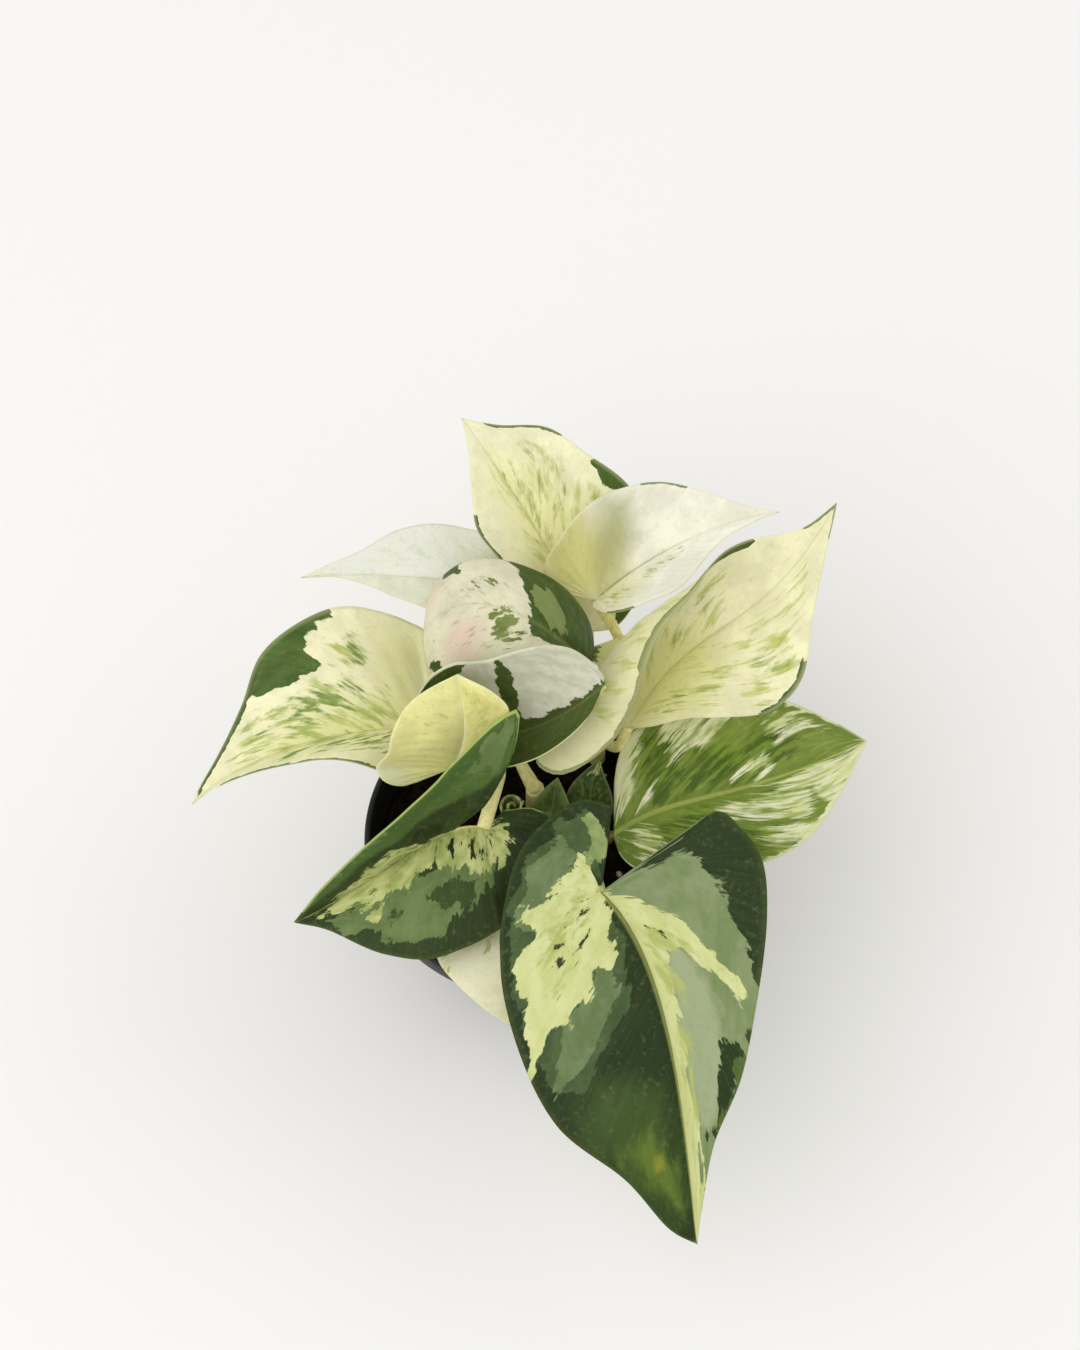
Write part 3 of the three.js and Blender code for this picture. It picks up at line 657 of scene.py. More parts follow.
markings["front_left"] = [
    # painted shadow: a near-black green wash over the lobe on the left side, where it lies in shade
    marking((28, 40, 18), (1, [(-26, -2), (-22, -32), (8, -38), (6, -25), (-5, -14), (-10, -2)]),
        blur=5, jag=0.5, sharp=0.4, strength=0.85),
    marking((82, 108, 50),
        (1, [(6, 22), (14, 22), (24, 17), (38, 17), (44, 12), (56, 6), (66, 0), (52, 16), (38, 26),
             (12, 36), (0, 48), (-18, 54), (-10, 34)]), other=(70, 98, 44), blur=2.5, jag=0.6, sharp=0.25),
    marking((112, 132, 80),
        (1, [(-4, -4), (2, -18), (14, -22), (28, -25), (38, -22), (48, -13), (56, -6), (44, -3),
             (20, -8)]), (0.9, [(-14, 48), (-8, 36), (0, 30), (6, 34), (-2, 44)]),
        (0.7, [(26, 24), (38, 20), (46, 14), (42, 22), (32, 26)]), other=(98, 118, 66), jag=1.7),
    marking((58, 78, 36), (0.85, [(8, -16), (18, -13), (26, -15), (22, -21), (12, -22)]),
        (0.7, [(34, -14), (44, -10), (40, -16)]), jag=1.6, blur=2.5),
    marking((206, 210, 142),
        (1, [(-6, 0), (-7, -6), (-2, -12), (6, -15), (15, -11), (21, -6), (26, -7), (31, -12), (33, -6),
             (39, -7), (43, -11), (46, -5), (58, -2), (44, 5), (38, 11), (28, 13), (24, 9), (20, 4),
             (10, 5)]), other=(162, 174, 98), jag=1.9, grain=1.2, blur=2.8),
    marking((104, 124, 62), (0.36, [(-6, -2), (20, -2), (44, -6), (42, 6), (28, 10), (8, 2)]),
        jag=1.7, grain=1.8, blur=2, strength=0.8),
    marking(deepGreen, (0.9, [(13, 5), (19, 4), (25, 11), (19, 16), (12, 14)]),
        (0.4, [(-2, -2), (0, -12), (12, -12), (16, -2)]), blur=2, jag=1.5, grain=1.4),
    marking((168, 186, 104), jag=0.2, rims=[("right", -20, 62, 0.6)]),
]

leaves["left"] = {
    "rib": [(-26, 23, 108), (-51, 19, 117), (-77, 12, 116), (-100, 4, 100)],
    "right": {
        "edge": [(-4, 8), (-8, 20), (-2, 34), (14, 40), (31, 38), (46, 30), (56, 17), (68, 7)],
        "fold": (5, 15, 20), "curl": (0, -10, -20)},
    "left": {
        "edge": [(-3, 4), (-5, 8), (2, 13), (15, 15), (30, 12), (45, 9), (60, 6), (76, 2)],
        "fold": (-20, 35, 50)},
    "wave": (0.8, 3, 2.0), "stalk": 1.7, "ribShow": 0.2, "sweep": 0.22,
    "ground": cream,
}

markings["left"] = [
    # painted shade: a soft darker yellow wash over the middle of the blade
    marking((226, 225, 158),
        (0.8, [(0, 14), (4, -6), (40, -8), (60, 0), (40, 10), (16, 12), (10, 34), (-4, 30)]),
        blur=8, jag=0.3, sharp=0.5),
    marking((196, 204, 124), (0.42, [(8, 4), (22, -6), (60, -4), (68, 4), (54, 14), (36, 20), (14, 16)]),
        (0.4, [(12, 20), (28, 18), (28, 34), (14, 34)]),
        other=(170, 184, 98), jag=1.5, grain=1.3, streak=1.1, sharp=0.2),
    marking((118, 142, 70), (0.38, [(22, 2), (44, 2), (60, 6), (50, 14), (30, 20), (16, 16)]),
        (0.5, [(16, 23), (20, 21), (24, 28), (18, 32)]), (0.46, [(10, -8), (54, -7), (48, 0), (10, 1)]),
        other=(142, 162, 84), jag=1.5, grain=1.4, streak=1.15, sharp=0.16),
    marking((86, 110, 52),
        (1, [(31, 22), (40, 19), (50, 18), (57, 22), (50, 32), (40, 38), (24, 43), (23, 38), (33, 32)]),
        other=(68, 92, 38), jag=1.5, blur=2.5, rims=[("right", 46, 80, 1.6), ("left", 16, 70, 0.9)]),
]

leaves["back_left"] = {
    "rib": [(-4, 70, 112), (-25, 71, 115), (-46, 74, 113), (-68, 77, 106)],
    "right": {
        "edge": [(-6, 4), (-8, 12), (4, 16), (20, 18), (34, 16), (46, 8), (58, 3)],
        "fold": (10, 10, 10), "curl": (0, -10, -20)},
    "left": {
        "edge": [(-4, 4), (-6, 9), (4, 13), (18, 14), (26, 12), (34, 9), (42, 5), (54, 1)],
        "fold": (20, 20, 20)},
    "wave": (0.6, 3, 0.2), "stalk": 1.6, "ribShow": 0.15,
    "ground": (236, 238, 214),
}

markings["back_left"] = [
    marking((232, 233, 221), (1, [(0, 1), (60, 0), (50, 10), (30, 20), (0, 20)]), blur=3, jag=0.4),
    marking((216, 222, 190), (0.3, [(2, 2), (50, 2), (34, 14), (4, 14)]), jag=1.4, grain=1.4, sharp=0.3),
]

leaves["back"] = {
    "rib": [(22, 60, 98), (9, 82, 114), (-5, 99, 132), (-16, 111, 144)],
    "right": {
        "edge": [(-3, 6), (-2, 12), (5, 25), (12, 33), (20, 36), (28, 33), (37, 31), (48, 26), (62, 20),
                 (71, 8)],
        "fold": (10, 15, 10)},
    "left": {
        "edge": [(-5, 4), (-6, 10), (4, 15), (20, 15), (38, 18), (50, 19), (60, 13), (69, 6)],
        "fold": (20, 20, 20)},
    "wave": (0.5, 3, 1.6), "stalk": 1.7, "ribShow": 0.2, "sweep": 0.22,
    "ground": (255, 252, 214),
}

markings["back"] = [
    # painted shade: a soft darker yellow wash over the middle of the blade
    marking((246, 243, 186), (0.8, [(10, 8), (24, -12), (60, -6), (66, 2), (50, 12), (24, 20)]),
        blur=8, jag=0.3, sharp=0.5),
    marking((206, 212, 132), (0.4, [(26, 5), (26, -7), (60, -4), (66, 1), (58, 5)]),
        (0.36, [(44, 8), (64, 8), (60, 19), (44, 20)]), (0.32, [(20, 6), (62, 4), (56, 20), (22, 26)]),
        other=(182, 194, 106), jag=1.5, sharp=0.32),
    marking((164, 178, 92), (0.25, [(24, 6), (26, -8), (60, -4), (64, 16), (40, 18)]),
        jag=1.5, grain=1.2, streak=1.05, sharp=0.22),
    marking((78, 102, 42), (1, [(33, 31), (36, 24), (42, 26), (40, 33)]),
        (1, [(-4, 7), (3, 12), (4, 18), (-3, 14)]),
        blur=1.6, jag=1.1, rims=[("left", 20, 54, 1.2), ("right", 58, 74, 0.8), ("right", 30, 46, 1.5)]),
]

leaves["funnel"] = {
    "rib": [(24, 65, 110), (41, 77, 113), (61, 83, 122), (80, 83, 132)],
    "right": {
        "edge": [(-2, 4), (1, 14), (8, 22), (17, 26), (26, 28), (34, 24), (46, 8), (56, 3)],
        "fold": (45, 40, 20)},
    "left": {
        "edge": [(-7, 7), (-9, 19), (1, 28), (15, 28), (26, 24), (36, 20), (46, 12), (56, 4)],
        "fold": (40, 30, 20), "curl": (40, 20, 0)},
    "wave": (0.5, 3, 0.9), "stalk": 1.7, "ribShow": 0.1,
    "ground": (254, 251, 236),
}

markings["funnel"] = [
    # painted shade: a soft darker yellow wash over the funnel's inside
    marking((226, 222, 150), (1, [(-12, -6), (2, 2), (12, -2), (16, -14), (8, -34), (-12, -28)]),
        (0.8, [(0, 2), (12, 4), (14, 14), (4, 18)]), blur=9, jag=0.3, sharp=0.5),
    # painted shadow: a grey-olive wash deep in the funnel's throat
    marking((170, 172, 118), (1, [(2, -1), (12, -2), (21, -9), (25, -20), (19, -26), (11, -18), (4, -8)]),
        blur=6, jag=0.3, sharp=0.5, strength=0.75),
    marking((176, 190, 112), (0.44, [(1, 2), (10, 4), (12, 16), (4, 14)]),
        (0.36, [(14, 3), (34, 2), (30, 14), (16, 14)]), jag=1.4, grain=1.4, streak=1.2, sharp=0.18),
    marking((88, 110, 48), jag=0.8, rims=[("right", 1, 12, 1.3), ("left", 30, 42, 0.7)]),
]

leaves["right_back"] = {
    "rib": [(33, 27, 98), (53, 45, 116), (73, 54, 131), (95, 76, 150)],
    "right": {
        "edge": [(2, 3), (7, 8), (15, 14), (23, 21), (33, 28), (42, 31), (54, 28), (68, 15), (82, 6)],
        "fold": (10, 10, 10), "curl": (-30, -10, 0)},
    "left": {
        "edge": [(-10, 3), (-16, 12), (-21, 22), (-23, 31), (-18, 40), (0, 45), (20, 43), (40, 36),
                 (56, 30), (70, 18), (82, 6)],
        "fold": (-20, 10, 20), "curl": (245, 180, 60)},
    "wave": (0.5, 3, 2.6), "stalk": 1.8, "ribShow": 0.25, "sweep": 0.26,
    "ground": cream,
    "marginTone": (236, 236, 186), "marginShow": 0.4,
    "underTone": (214, 214, 148),
}

markings["right_back"] = [
    # painted shade: a soft darker yellow wash over the blade near its base
    marking((226, 224, 154), (1, [(0, 4), (2, -6), (26, -12), (40, -4), (36, 10), (20, 16)]),
        blur=9, jag=0.3, sharp=0.5),
    marking((206, 209, 128), (0.4, [(4, 2), (20, 4), (38, 14), (28, 20), (12, 10)]),
        (0.44, [(44, 10), (62, 9), (58, 26), (40, 29), (36, 22)]),
        (0.38, [(14, -2), (44, -1), (62, -12), (60, -24), (40, -14), (18, -10)]),
        (0.42, [(-2, -44), (40, -38), (52, -26), (30, -26), (0, -32)]),
        (0.32, [(20, 0), (80, 0), (70, 16), (40, 20)]),
        other=(184, 194, 104), jag=1.5, grain=1.3, streak=1.2, sharp=0.2),
    marking((154, 170, 86), (0.27, [(6, 2), (30, 4), (38, 14), (28, 18), (12, 10)]),
        (0.36, [(44, 12), (58, 12), (54, 24), (40, 26)]),
        (0.27, [(16, -4), (44, -3), (62, -14), (60, -22), (40, -12), (18, -10)]),
        jag=1.5, grain=1.5, streak=1.2, sharp=0.16),
    marking((72, 94, 40),
        jag=0.8, rims=[("right", 36, 58, 1.6), ("right", 86, 100, 0.5), ("left", -26, 72, 1.6),
             ("left", 22, 70, 2.6), ("left", 84, 100, 0.9)]),
]

leaves["right"] = {
    "rib": [(28, -3, 84), (47, 4, 90), (71, 9, 93), (108, 25, 88)],
    "right": {
        "edge": [(2, 3), (-1, 7), (3, 15), (18, 23), (38, 25), (55, 22), (68, 14), (79, 6)],
        "fold": (10, 10, 10), "curl": (-20, -20, -10)},
    "left": {
        "edge": [(4, 6), (9, 18), (17, 27), (34, 31), (52, 30), (66, 23), (79, 10)],
        "fold": (10, 10, 10), "curl": (-20, -20, -10)},
    "wave": (0.6, 3, 0.7), "stalk": 1.5, "ribWidth": 0.8, "ribShow": 0.6, "ribTone": (206, 210, 118),
    "sweep": 0.32,
    "ground": (116, 138, 54),
    "marginTone": (228, 230, 186), "marginShow": 0.7,
}

markings["right"] = [
    marking((146, 162, 84), (0.42, [(2, -2), (84, -2), (70, -18), (50, -28), (24, -28), (8, -12)]),
        jag=1.6, grain=1.5, streak=1.2, sharp=0.3, strength=0.7),
    marking((84, 108, 30),
        (0.95, [(13, -5), (18, -22), (34, -26), (36, -16), (46, -13), (58, -16), (68, -8), (50, -3),
             (34, -2), (18, -2)]), (0.8, [(14, 3), (30, 3), (36, 9), (20, 13), (10, 11)]),
        (0.7, [(38, 12), (44, 9), (54, 13), (60, 19), (48, 24), (40, 22)]),
        (0.5, [(40, 1), (66, 2), (60, 8), (44, 8)]), other=(68, 92, 26), jag=1.5, streak=1.2, sharp=0.2),
    marking((232, 232, 198), (1, [(1, -4), (4, -6), (11, -9), (15, -18), (22, -30), (14, -31), (4, -16)]),
        (0.66, [(24, -12), (36, -17), (50, -21), (56, -26), (34, -34), (24, -28)]),
        (0.6, [(58, -10), (76, -8), (72, -18), (56, -20)]),
        (1, [(58, 2), (88, 0), (78, 9), (66, 15), (62, 8)]),
        (0.66, [(34, 2), (66, 2), (62, 12), (56, 22), (46, 26), (40, 14), (34, 7)]),
        (0.6, [(2, 2), (10, 2), (16, 12), (20, 24), (4, 16)]),
        (0.52, [(40, -2), (56, -2), (54, -9), (42, -8)]), (0.36, [(6, -2), (30, -2), (30, -12), (10, -8)]),
        other=(214, 220, 158), jag=1.6, streak=1.35, sharp=0.14, rims=[("left", 4, 80, 0.9),
             ("right", -2, 82, 1.1)]),
    marking((134, 156, 60), (0.4, [(0, 0), (84, 0), (72, -16), (50, -28), (20, -26), (4, -8)]),
        (0.42, [(0, 0), (84, 0), (66, 16), (50, 26), (20, 26), (0, 10)]),
        jag=1.6, grain=1.5, streak=1.3, sharp=0.2, strength=0.7),
]

leaves["dome"] = {
    "rib": [(21, 38, 116), (8, 45, 132), (-12, 52, 136), (-29, 49, 121)],
    "right": {
        "edge": [(0, 5), (2, 11), (8, 17), (18, 21), (32, 21), (46, 20), (58, 20), (67, 14)],
        "fold": (5, 5, 5), "curl": (-50, -50, -50)},
    "left": {
        "edge": [(0, 4), (2, 8), (10, 13), (24, 16), (38, 20), (52, 21), (64, 13)],
        "fold": (0, 0, 0), "curl": (-60, -60, -50)},
    "wave": (0.3, 3, 0.5), "stalk": 1.7, "ribShow": 0.15,
    "ground": (230, 226, 196),
    "marginTone": (206, 178, 150), "marginShow": 0.3,
}

markings["dome"] = [
    marking((236, 202, 184), (1, [(42, -6), (52, -7), (54, -17), (43, -18)]),
        (0.7, [(60, 8), (68, 0), (68, 14), (58, 18)]), blur=6, jag=0.4, sharp=0.5, strength=0.7),
    marking((178, 168, 128),
        (0.24, [(12, -2), (28, 2), (40, 14), (58, 14), (62, 0), (56, -16), (20, -14)]),
        other=(164, 164, 104), jag=1.5, grain=1.8, sharp=0.18, strength=0.7),
    marking((134, 146, 82), (0.46, [(24, -4), (30, -14), (40, -10), (40, 4), (30, 2)]),
        (0.36, [(40, 2), (48, 2), (48, 12), (40, 12)]), other=(108, 124, 58), jag=1.6),
    marking((70, 92, 36), (1, [(-2, -6), (14, -2), (22, -5), (28, -1), (31, 8), (40, 22), (0, 24)]),
        (1, [(52, 13), (60, 14), (60, 19), (54, 21)]),
        (0.8, [(53, -19), (58, -14), (60, -8), (64, -13), (60, -19)]),
        other=(58, 78, 28), jag=1.3, blur=2.2),
    marking((124, 138, 80), (0.95, [(15, 2), (21, 0), (28, 5), (30, 13), (22, 12), (17, 8)]),
        jag=1.4, blur=2.2),
]

leaves["centre"] = {
    "rib": [(25, 28, 130), (7, 20, 120), (-13, 19, 114), (-31, 22, 134)],
    "right": {
        "edge": [(0, 3), (3, 10), (9, 19), (18, 26), (31, 31), (40, 30), (50, 29), (60, 25), (68, 13)],
        "fold": (50, 50, 60), "curl": (10, 30, 40)},
    "left": {
        "edge": [(1, 1), (5, 3), (10, 7), (20, 11), (32, 16), (40, 13), (50, 7), (62, 4)],
        "fold": (-20, -20, -10), "curl": (110, 90, 20)},
    "wave": (0.3, 3, 1.2), "stalk": 1.2, "ribShow": 0.1,
    "ground": (76, 92, 40),
    "marginTone": (214, 218, 178), "marginShow": 0.5,
    "underTone": (108, 124, 62),
}

markings["centre"] = [
    marking((222, 221, 200),
        (1, [(-2, 1), (12, 2), (29, 3), (30, 14), (30, 22), (34, 30), (24, 34), (10, 26), (0, 10)]),
        (1, [(36, 8), (44, 6), (54, 14), (56, 26), (50, 31), (36, 30)]),
        other=(206, 206, 180), jag=1.3, blur=2.2),
    marking((190, 194, 158), (0.42, [(4, 4), (28, 4), (30, 24), (14, 26)]),
        blur=3, jag=1.4, grain=1.2, sharp=0.3, strength=0.6),
    marking((224, 228, 204), jag=0.4, rims=[("right", 20, 72, 1.2)]),
    marking((176, 192, 116), jag=0.3, rims=[("left", 0, 70, 0.7)]),
]

leaves["cup"] = {
    "rib": [(-21, 8, 115), (-17, 14, 125), (-17, 20, 134), (-18, 26, 143)],
    "right": {
        "edge": [(-1, 3), (5, 6), (11, 9), (17, 12), (24, 14), (30, 9)],
        "fold": (10, 10, 10)},
    "left": {
        "edge": [(-4, 7), (-7, 14), (-4, 21), (5, 25), (14, 26), (23, 25), (30, 17)],
        "fold": (30, 30, 30), "curl": (10, 20, 20)},
    "wave": (0.3, 2, 0.3), "stalk": 1.5, "ribShow": 0.7, "ribTone": (252, 249, 204),
    "ground": (255, 250, 172),
    "marginTone": (242, 240, 196), "marginShow": 0.5,
}

markings["cup"] = [
    # painted shade: a darker olive-yellow wash over the cup's right half
    marking((218, 212, 128), (0.9, [(0, 1), (30, 1), (28, 14), (4, 12)]),
        other=(226, 220, 146), blur=4, jag=0.8, sharp=0.35),
    marking((186, 186, 98), (0.34, [(4, 2), (30, 1), (28, 12), (6, 8)]),
        (0.22, [(10, -2), (30, -2), (28, -20), (12, -20)]), jag=1.4, grain=1.6, sharp=0.2, strength=0.7),
    marking((240, 238, 192), (1, [(-8, -8), (0, -14), (4, -22), (0, -28), (-12, -18)]),
        blur=4, jag=0.5, sharp=0.35),
]

leaves["low_front"] = {
    "rib": [(-6, -27, 80), (-2, -43, 82), (4, -60, 78), (10, -74, 70)],
    "right": {
        "edge": [(-4, 6), (-6, 14), (1, 22), (8, 23), (16, 20), (25, 15), (32, 10), (38, 5)],
        "fold": (0, 0, 0), "curl": (-10, -10, -10)},
    "left": {
        "edge": [(-4, 6), (-6, 12), (4, 18), (16, 18), (30, 13), (42, 6)],
        "fold": (0, 0, 0), "curl": (-10, -10, -10)},
    "wave": (0.4, 3, 0.8), "stalk": 1.5, "ribShow": 0.3,
    "ground": (242, 238, 204),
}

markings["low_front"] = [
    marking((206, 208, 136), (0.4, [(4, 4), (14, 4), (12, 12), (4, 12)]),
        (0.42, [(4, 18), (14, 18), (12, 24), (2, 24)]), (0.34, [(2, -2), (40, -2), (20, -16), (2, -14)]),
        other=(180, 188, 104), jag=1.4),
]

leaves["low_right"] = {
    "rib": [(42, 41, 95), (34, 45, 99), (27, 48, 102), (20, 51, 103)],
    "right": {
        "edge": [(-2, 3), (-4, 7), (2, 12), (9, 13), (15, 11), (20, 6)],
        "fold": (5, 5, 5)},
    "left": {
        "edge": [(-2, 3), (-4, 6), (2, 8), (12, 7), (18, 4)],
        "fold": (5, 5, 5)},
    "wave": (0.3, 2, 0.8), "stalk": 1.3, "ribWidth": 0.6,
    "ground": (226, 226, 168),
}

markings["low_right"] = [
    marking((96, 118, 56), (0.9, [(20, -6), (27, -2), (27, 3), (22, 4)]),
        (0.3, [(0, 0), (14, 0), (12, 10), (0, 8)]), jag=1.4, blur=1.5),
]

leaves["small_mid"] = {
    "rib": [(9, 2, 76), (9, 5, 83), (10, 9, 90), (11, 12, 95)],
    "right": {"edge": [(-1, 2), (2, 5), (7, 7), (13, 6), (18, 3)], "fold": (20, 20, 20)},
    "left": {"edge": [(-1, 2), (2, 5), (7, 7), (13, 6), (18, 3)], "fold": (20, 20, 20)},
    "wave": (0.2, 2, 0.8), "stalk": 1.1, "ribWidth": 0.5, "ribShow": 0.25, "marginShow": 0.1,
    "ground": (98, 118, 58),
}

markings["small_mid"] = [
    marking((152, 166, 104), (0.7, [(-2, -4), (9, -4), (9, 4), (-2, 4)]), blur=2),
    marking((66, 86, 38), (0.6, [(10, -5), (20, -2), (20, 2), (10, 5)]), blur=2),
]

leaves["small_dark"] = {
    "rib": [(21, 5, 76), (21, 8, 85), (22, 12, 94), (24, 15, 101)],
    "right": {"edge": [(-1, 2), (2, 5), (8, 8), (16, 7), (23, 3)], "fold": (15, 15, 15)},
    "left": {"edge": [(-1, 2), (2, 5), (8, 8), (16, 7), (23, 3)], "fold": (25, 25, 25)},
    "wave": (0.2, 2, 0.8), "stalk": 1.1, "ribWidth": 0.5, "ribShow": 0.2, "marginShow": 0.1,
    "ground": (58, 78, 34),
}

markings["small_dark"] = [
    marking((100, 120, 68), (0.4, [(6, -7), (20, -5), (22, 3), (12, 7), (4, 4)]),
        blur=2, jag=1.4, sharp=0.25),
    marking((176, 186, 116), (0.7, [(21, -3), (28, 0), (21, 3)]), blur=2),
]


def makeLeaves():
    for number, (name, leaf) in enumerate(leaves.items()):
        makeLeaf("leaf_" + name, {**usualLeaf, **leaf, "marks": markings[name]}, 11 * number)
    print("leaves made")


# stems and stalks, in mm. each stalk has a radius and the points that it passes.

stems = {
    "stem_front": {"radius": 2.6, "kind": "green", "climb": [(16, -12, 74), (17, -13, 80)], "stalks": [
        (1.7, [(17, -13, 79), (20, -17, 90), (22, -22, 97), (23, -27, 100)])]},
    "stem_right": {"radius": 2.2, "kind": "brown", "climb": [(20, -5, 72), (22, -5, 76)], "stalks": [
        (1.5, [(22, -5, 75), (25, -4, 80), (28, -3, 84)])]},
    "stem_front_left": {"radius": 2.4, "kind": "green", "climb": [(-4, -14, 72), (-5, -16, 74)], "stalks": [
        (1.5, [(-5, -16, 73), (-6, -22, 77), (-6, -27, 80)])]},
    "stem_left": {"radius": 2.8, "kind": "pale", "climb": [(-8, 24, 78), (-8, 24, 88)], "stalks": [
        (2.2, [(-8, 23, 84), (-7, 15, 93), (-9, 6, 95), (-12, -3, 92)]),
        (1.7, [(-8, 24, 87), (-14, 24, 97), (-21, 24, 105), (-26, 23, 108)]),
        (1.5, [(-9, 24, 82), (-17, 12, 92), (-20, 7, 104), (-21, 8, 115)])]},
    "stem_middle": {"radius": 3.0, "kind": "pale", "climb": [(4, 13, 76), (4, 13, 84)], "stalks": [
        (1.8, [(4, 13, 83), (-1, 20, 95), (0, 27, 106), (9, 29, 112), (18, 28, 119), (23, 28, 126)])]},
    "stem_back": {"radius": 3.0, "kind": "green", "climb": [(8, 32, 78), (8, 34, 88)], "stalks": [
        (1.7, [(8, 34, 88), (10, 38, 100), (15, 40, 108), (21, 38, 116)]),
        (1.6, [(8, 35, 86), (4, 50, 98), (0, 62, 107), (-4, 70, 112)])]},
    "stem_back_right": {"radius": 3.0, "kind": "pale", "climb": [(24, 30, 78), (25, 32, 86)], "stalks": [
        (1.7, [(25, 34, 84), (23, 44, 88), (22, 53, 93), (22, 60, 98)]),
        (1.7, [(27, 32, 80), (34, 45, 88), (31, 57, 100), (24, 65, 110)]),
        (1.8, [(25, 30, 81), (30, 24, 90), (33, 27, 98)])]},
    "stem_low_right": {"radius": 1.7, "kind": "green", "climb": [(32, 24, 71), (33, 26, 76)], "stalks": [
        (1.3, [(33, 26, 75), (37, 32, 85), (43, 38, 91), (42, 41, 95)])]},
    "stem_small": {"radius": 1.8, "kind": "green", "climb": [(9, 0, 70), (9, 0, 72)], "stalks": [
        (1.1, [(9, 0, 70), (9, 1, 74), (9, 2, 76)])]},
    "stem_small_dark": {"radius": 1.8, "kind": "green", "climb": [(21, 4, 70), (21, 4, 72)], "stalks": [
        (1.1, [(21, 4, 70), (21, 4, 74), (21, 5, 76)])]},
}

stemShape = {
    "buried": (57.5, 63, 67),  # heights of its straight part, from deep in the soil to just above it
    "footSwell": 1.06, "taper": 0.12, "sides": 20, "steps": 40,
    "kneeSwell": 0.35, "kneeReach": 0.12,  # the thickening where a stalk leaves its stem
    "channel": 0.1, "channelPower": 3, "stalkSides": 18, "stalkSteps": 54,
}

stalkTones = {
    "pale": ((232, 222, 138), (248, 240, 174)),
    "green": ((162, 170, 94), (192, 198, 118)),
    "brown": ((92, 72, 46), (128, 108, 66)),
}

stalkSkin = {
    "noise": ((700, 700, 60), 4, (2, 5, 0)), "limits": (0.38, 0.62),  # scale, detail and shift, then limits
    "flecks": (((900, 900, 400), 3, (8, 1, 0)), (0.68, 0.74), 0.2, (112, 90, 52)),  # then share and tone
    "bump": (0.3, 0.0003),
    "shader": {
        "Roughness": 0.42, "Subsurface Weight": 0.15,
        "Subsurface Radius": (1.0, 0.9, 0.3), "Subsurface Scale": 0.001},
}


def stalkRadius(thick, share, angle):
    s = stemShape
    knee = s["kneeSwell"] * math.exp(-(share / s["kneeReach"]) ** 2)
    return thick * (1 + knee - s["channel"] * max(0, math.cos(angle)) ** s["channelPower"])


def makeStems():
    s = stemShape
    for name, stem in stems.items():
        bm = bmesh.new()
        x, y, _ = stem["climb"][0]
        points = [(x, y, z) for z in s["buried"]] + stem["climb"]
        sweepTube(bm, points, lambda share, angle: stem["radius"] * (s["footSwell"] - s["taper"] * share),
                  s["sides"], s["steps"])
        for thick, path in stem["stalks"]:
            sweepTube(bm, path, lambda share, angle: stalkRadius(thick, share, angle),
                      s["stalkSides"], s["stalkSteps"])
        thing = toObject(bm, name + "_fine", [stalkMaterials[stem["kind"]]])
        finishPiece(thing, "stem_brown" if stem["kind"] == "brown" else "stem", name)
    print("stems made")


# the young leaf, still rolled up

rolledLeaf = {
    "x": -3, "y": 8, "bottom": 70, "top": 83, "outer": 4.3, "inner": 0.9, "turns": 1.6, "slant": 1.2,
    "footShare": 0.72,  # the roll's width at its foot, as a share of that at the top
    "thickness": 0.7, "around": 96, "up": 16,
    "stalk": 1.6, "stalkHeights": (58, 62, 66, 71), "swell": 1.2, "swellStart": 0.75,
    "sides": 16, "steps": 24,
}

rolledLeafSkin = {
    "noise": ((420, 420, 60), 4, (3, 0, 0)), "limits": (0.46, 0.54),
    "tones": ((132, 152, 72), (206, 212, 150)), "bump": (0.3, 0.0003),
    "shader": {"Roughness": 0.4, "Subsurface Weight": 0.15, "Subsurface Scale": 0.001},
}


def makeRolledLeaf():
    roll = rolledLeaf
    bm = bmesh.new()
    for vert, share, rise in gridShares(bm, roll["around"], roll["up"]):
        angle = 2 * math.pi * roll["turns"] * share
        radius = roll["inner"] + (roll["outer"] - roll["inner"]) * share - roll["thickness"] / 2
        radius *= roll["footShare"] + (1 - roll["footShare"]) * smoothShare(rise)
        top = roll["top"] - roll["slant"] * (1 - share)
        z = roll["bottom"] + (top - roll["bottom"]) * rise
        vert.co = Vector((roll["x"] + radius * math.cos(angle), roll["y"] + radius * math.sin(angle), z)) * mm
    bmesh.ops.recalc_face_normals(bm, faces=bm.faces[:])
    thing = toObject(bm, "leaf_rolled_blade", [twoToneMaterial("rolled leaf", rolledLeafSkin)])
    giveWall(thing, roll["thickness"])
    finishPiece(thing, "leaf_rolled", "leaf_rolled")
    bm = bmesh.new()
    sweepTube(bm, [(roll["x"], roll["y"], z) for z in roll["stalkHeights"]],
              lambda share, angle: roll["stalk"] + roll["swell"] * max(0, share - roll["swellStart"]),
              roll["sides"], roll["steps"])
    finishPiece(toObject(bm, "leaf_rolled_stalk", [stalkMaterials["pale"]]), "leaf_rolled")
    print("rolled leaf made")


# nursery pot

potSizes = {
    "height": 78, "rimRadius": 49.5, "rimBand": 10, "bandStep": 2, "wall": 1.4, "baseRadius": 28.5,
    "floorThickness": 2.4, "holes": 6, "holeRadius": 4, "holeRing": 18, "cutDepth": 8,
    "sides": 144, "holeSides": 40, "sharpAngle": 35,
}

potSkin = {
    "dust": (60, 60, 30), "dustLimits": (0.5, 0.8), "dustShare": 0.35,
    "black": (20, 19, 19), "worn": (40, 37, 35),
    "roughness": (0.38, 0.62),
    "grain": (2200, 2200, 2200),
    "bump": (0.25, 0.0002),
    "shader": {"Specular IOR Level": 0.35},
}


def potInside(z):
    p = potSizes
    slope = (p["rimRadius"] - p["bandStep"] - p["baseRadius"]) / (p["height"] - p["rimBand"])
    return p["baseRadius"] + slope * z - p["wall"]


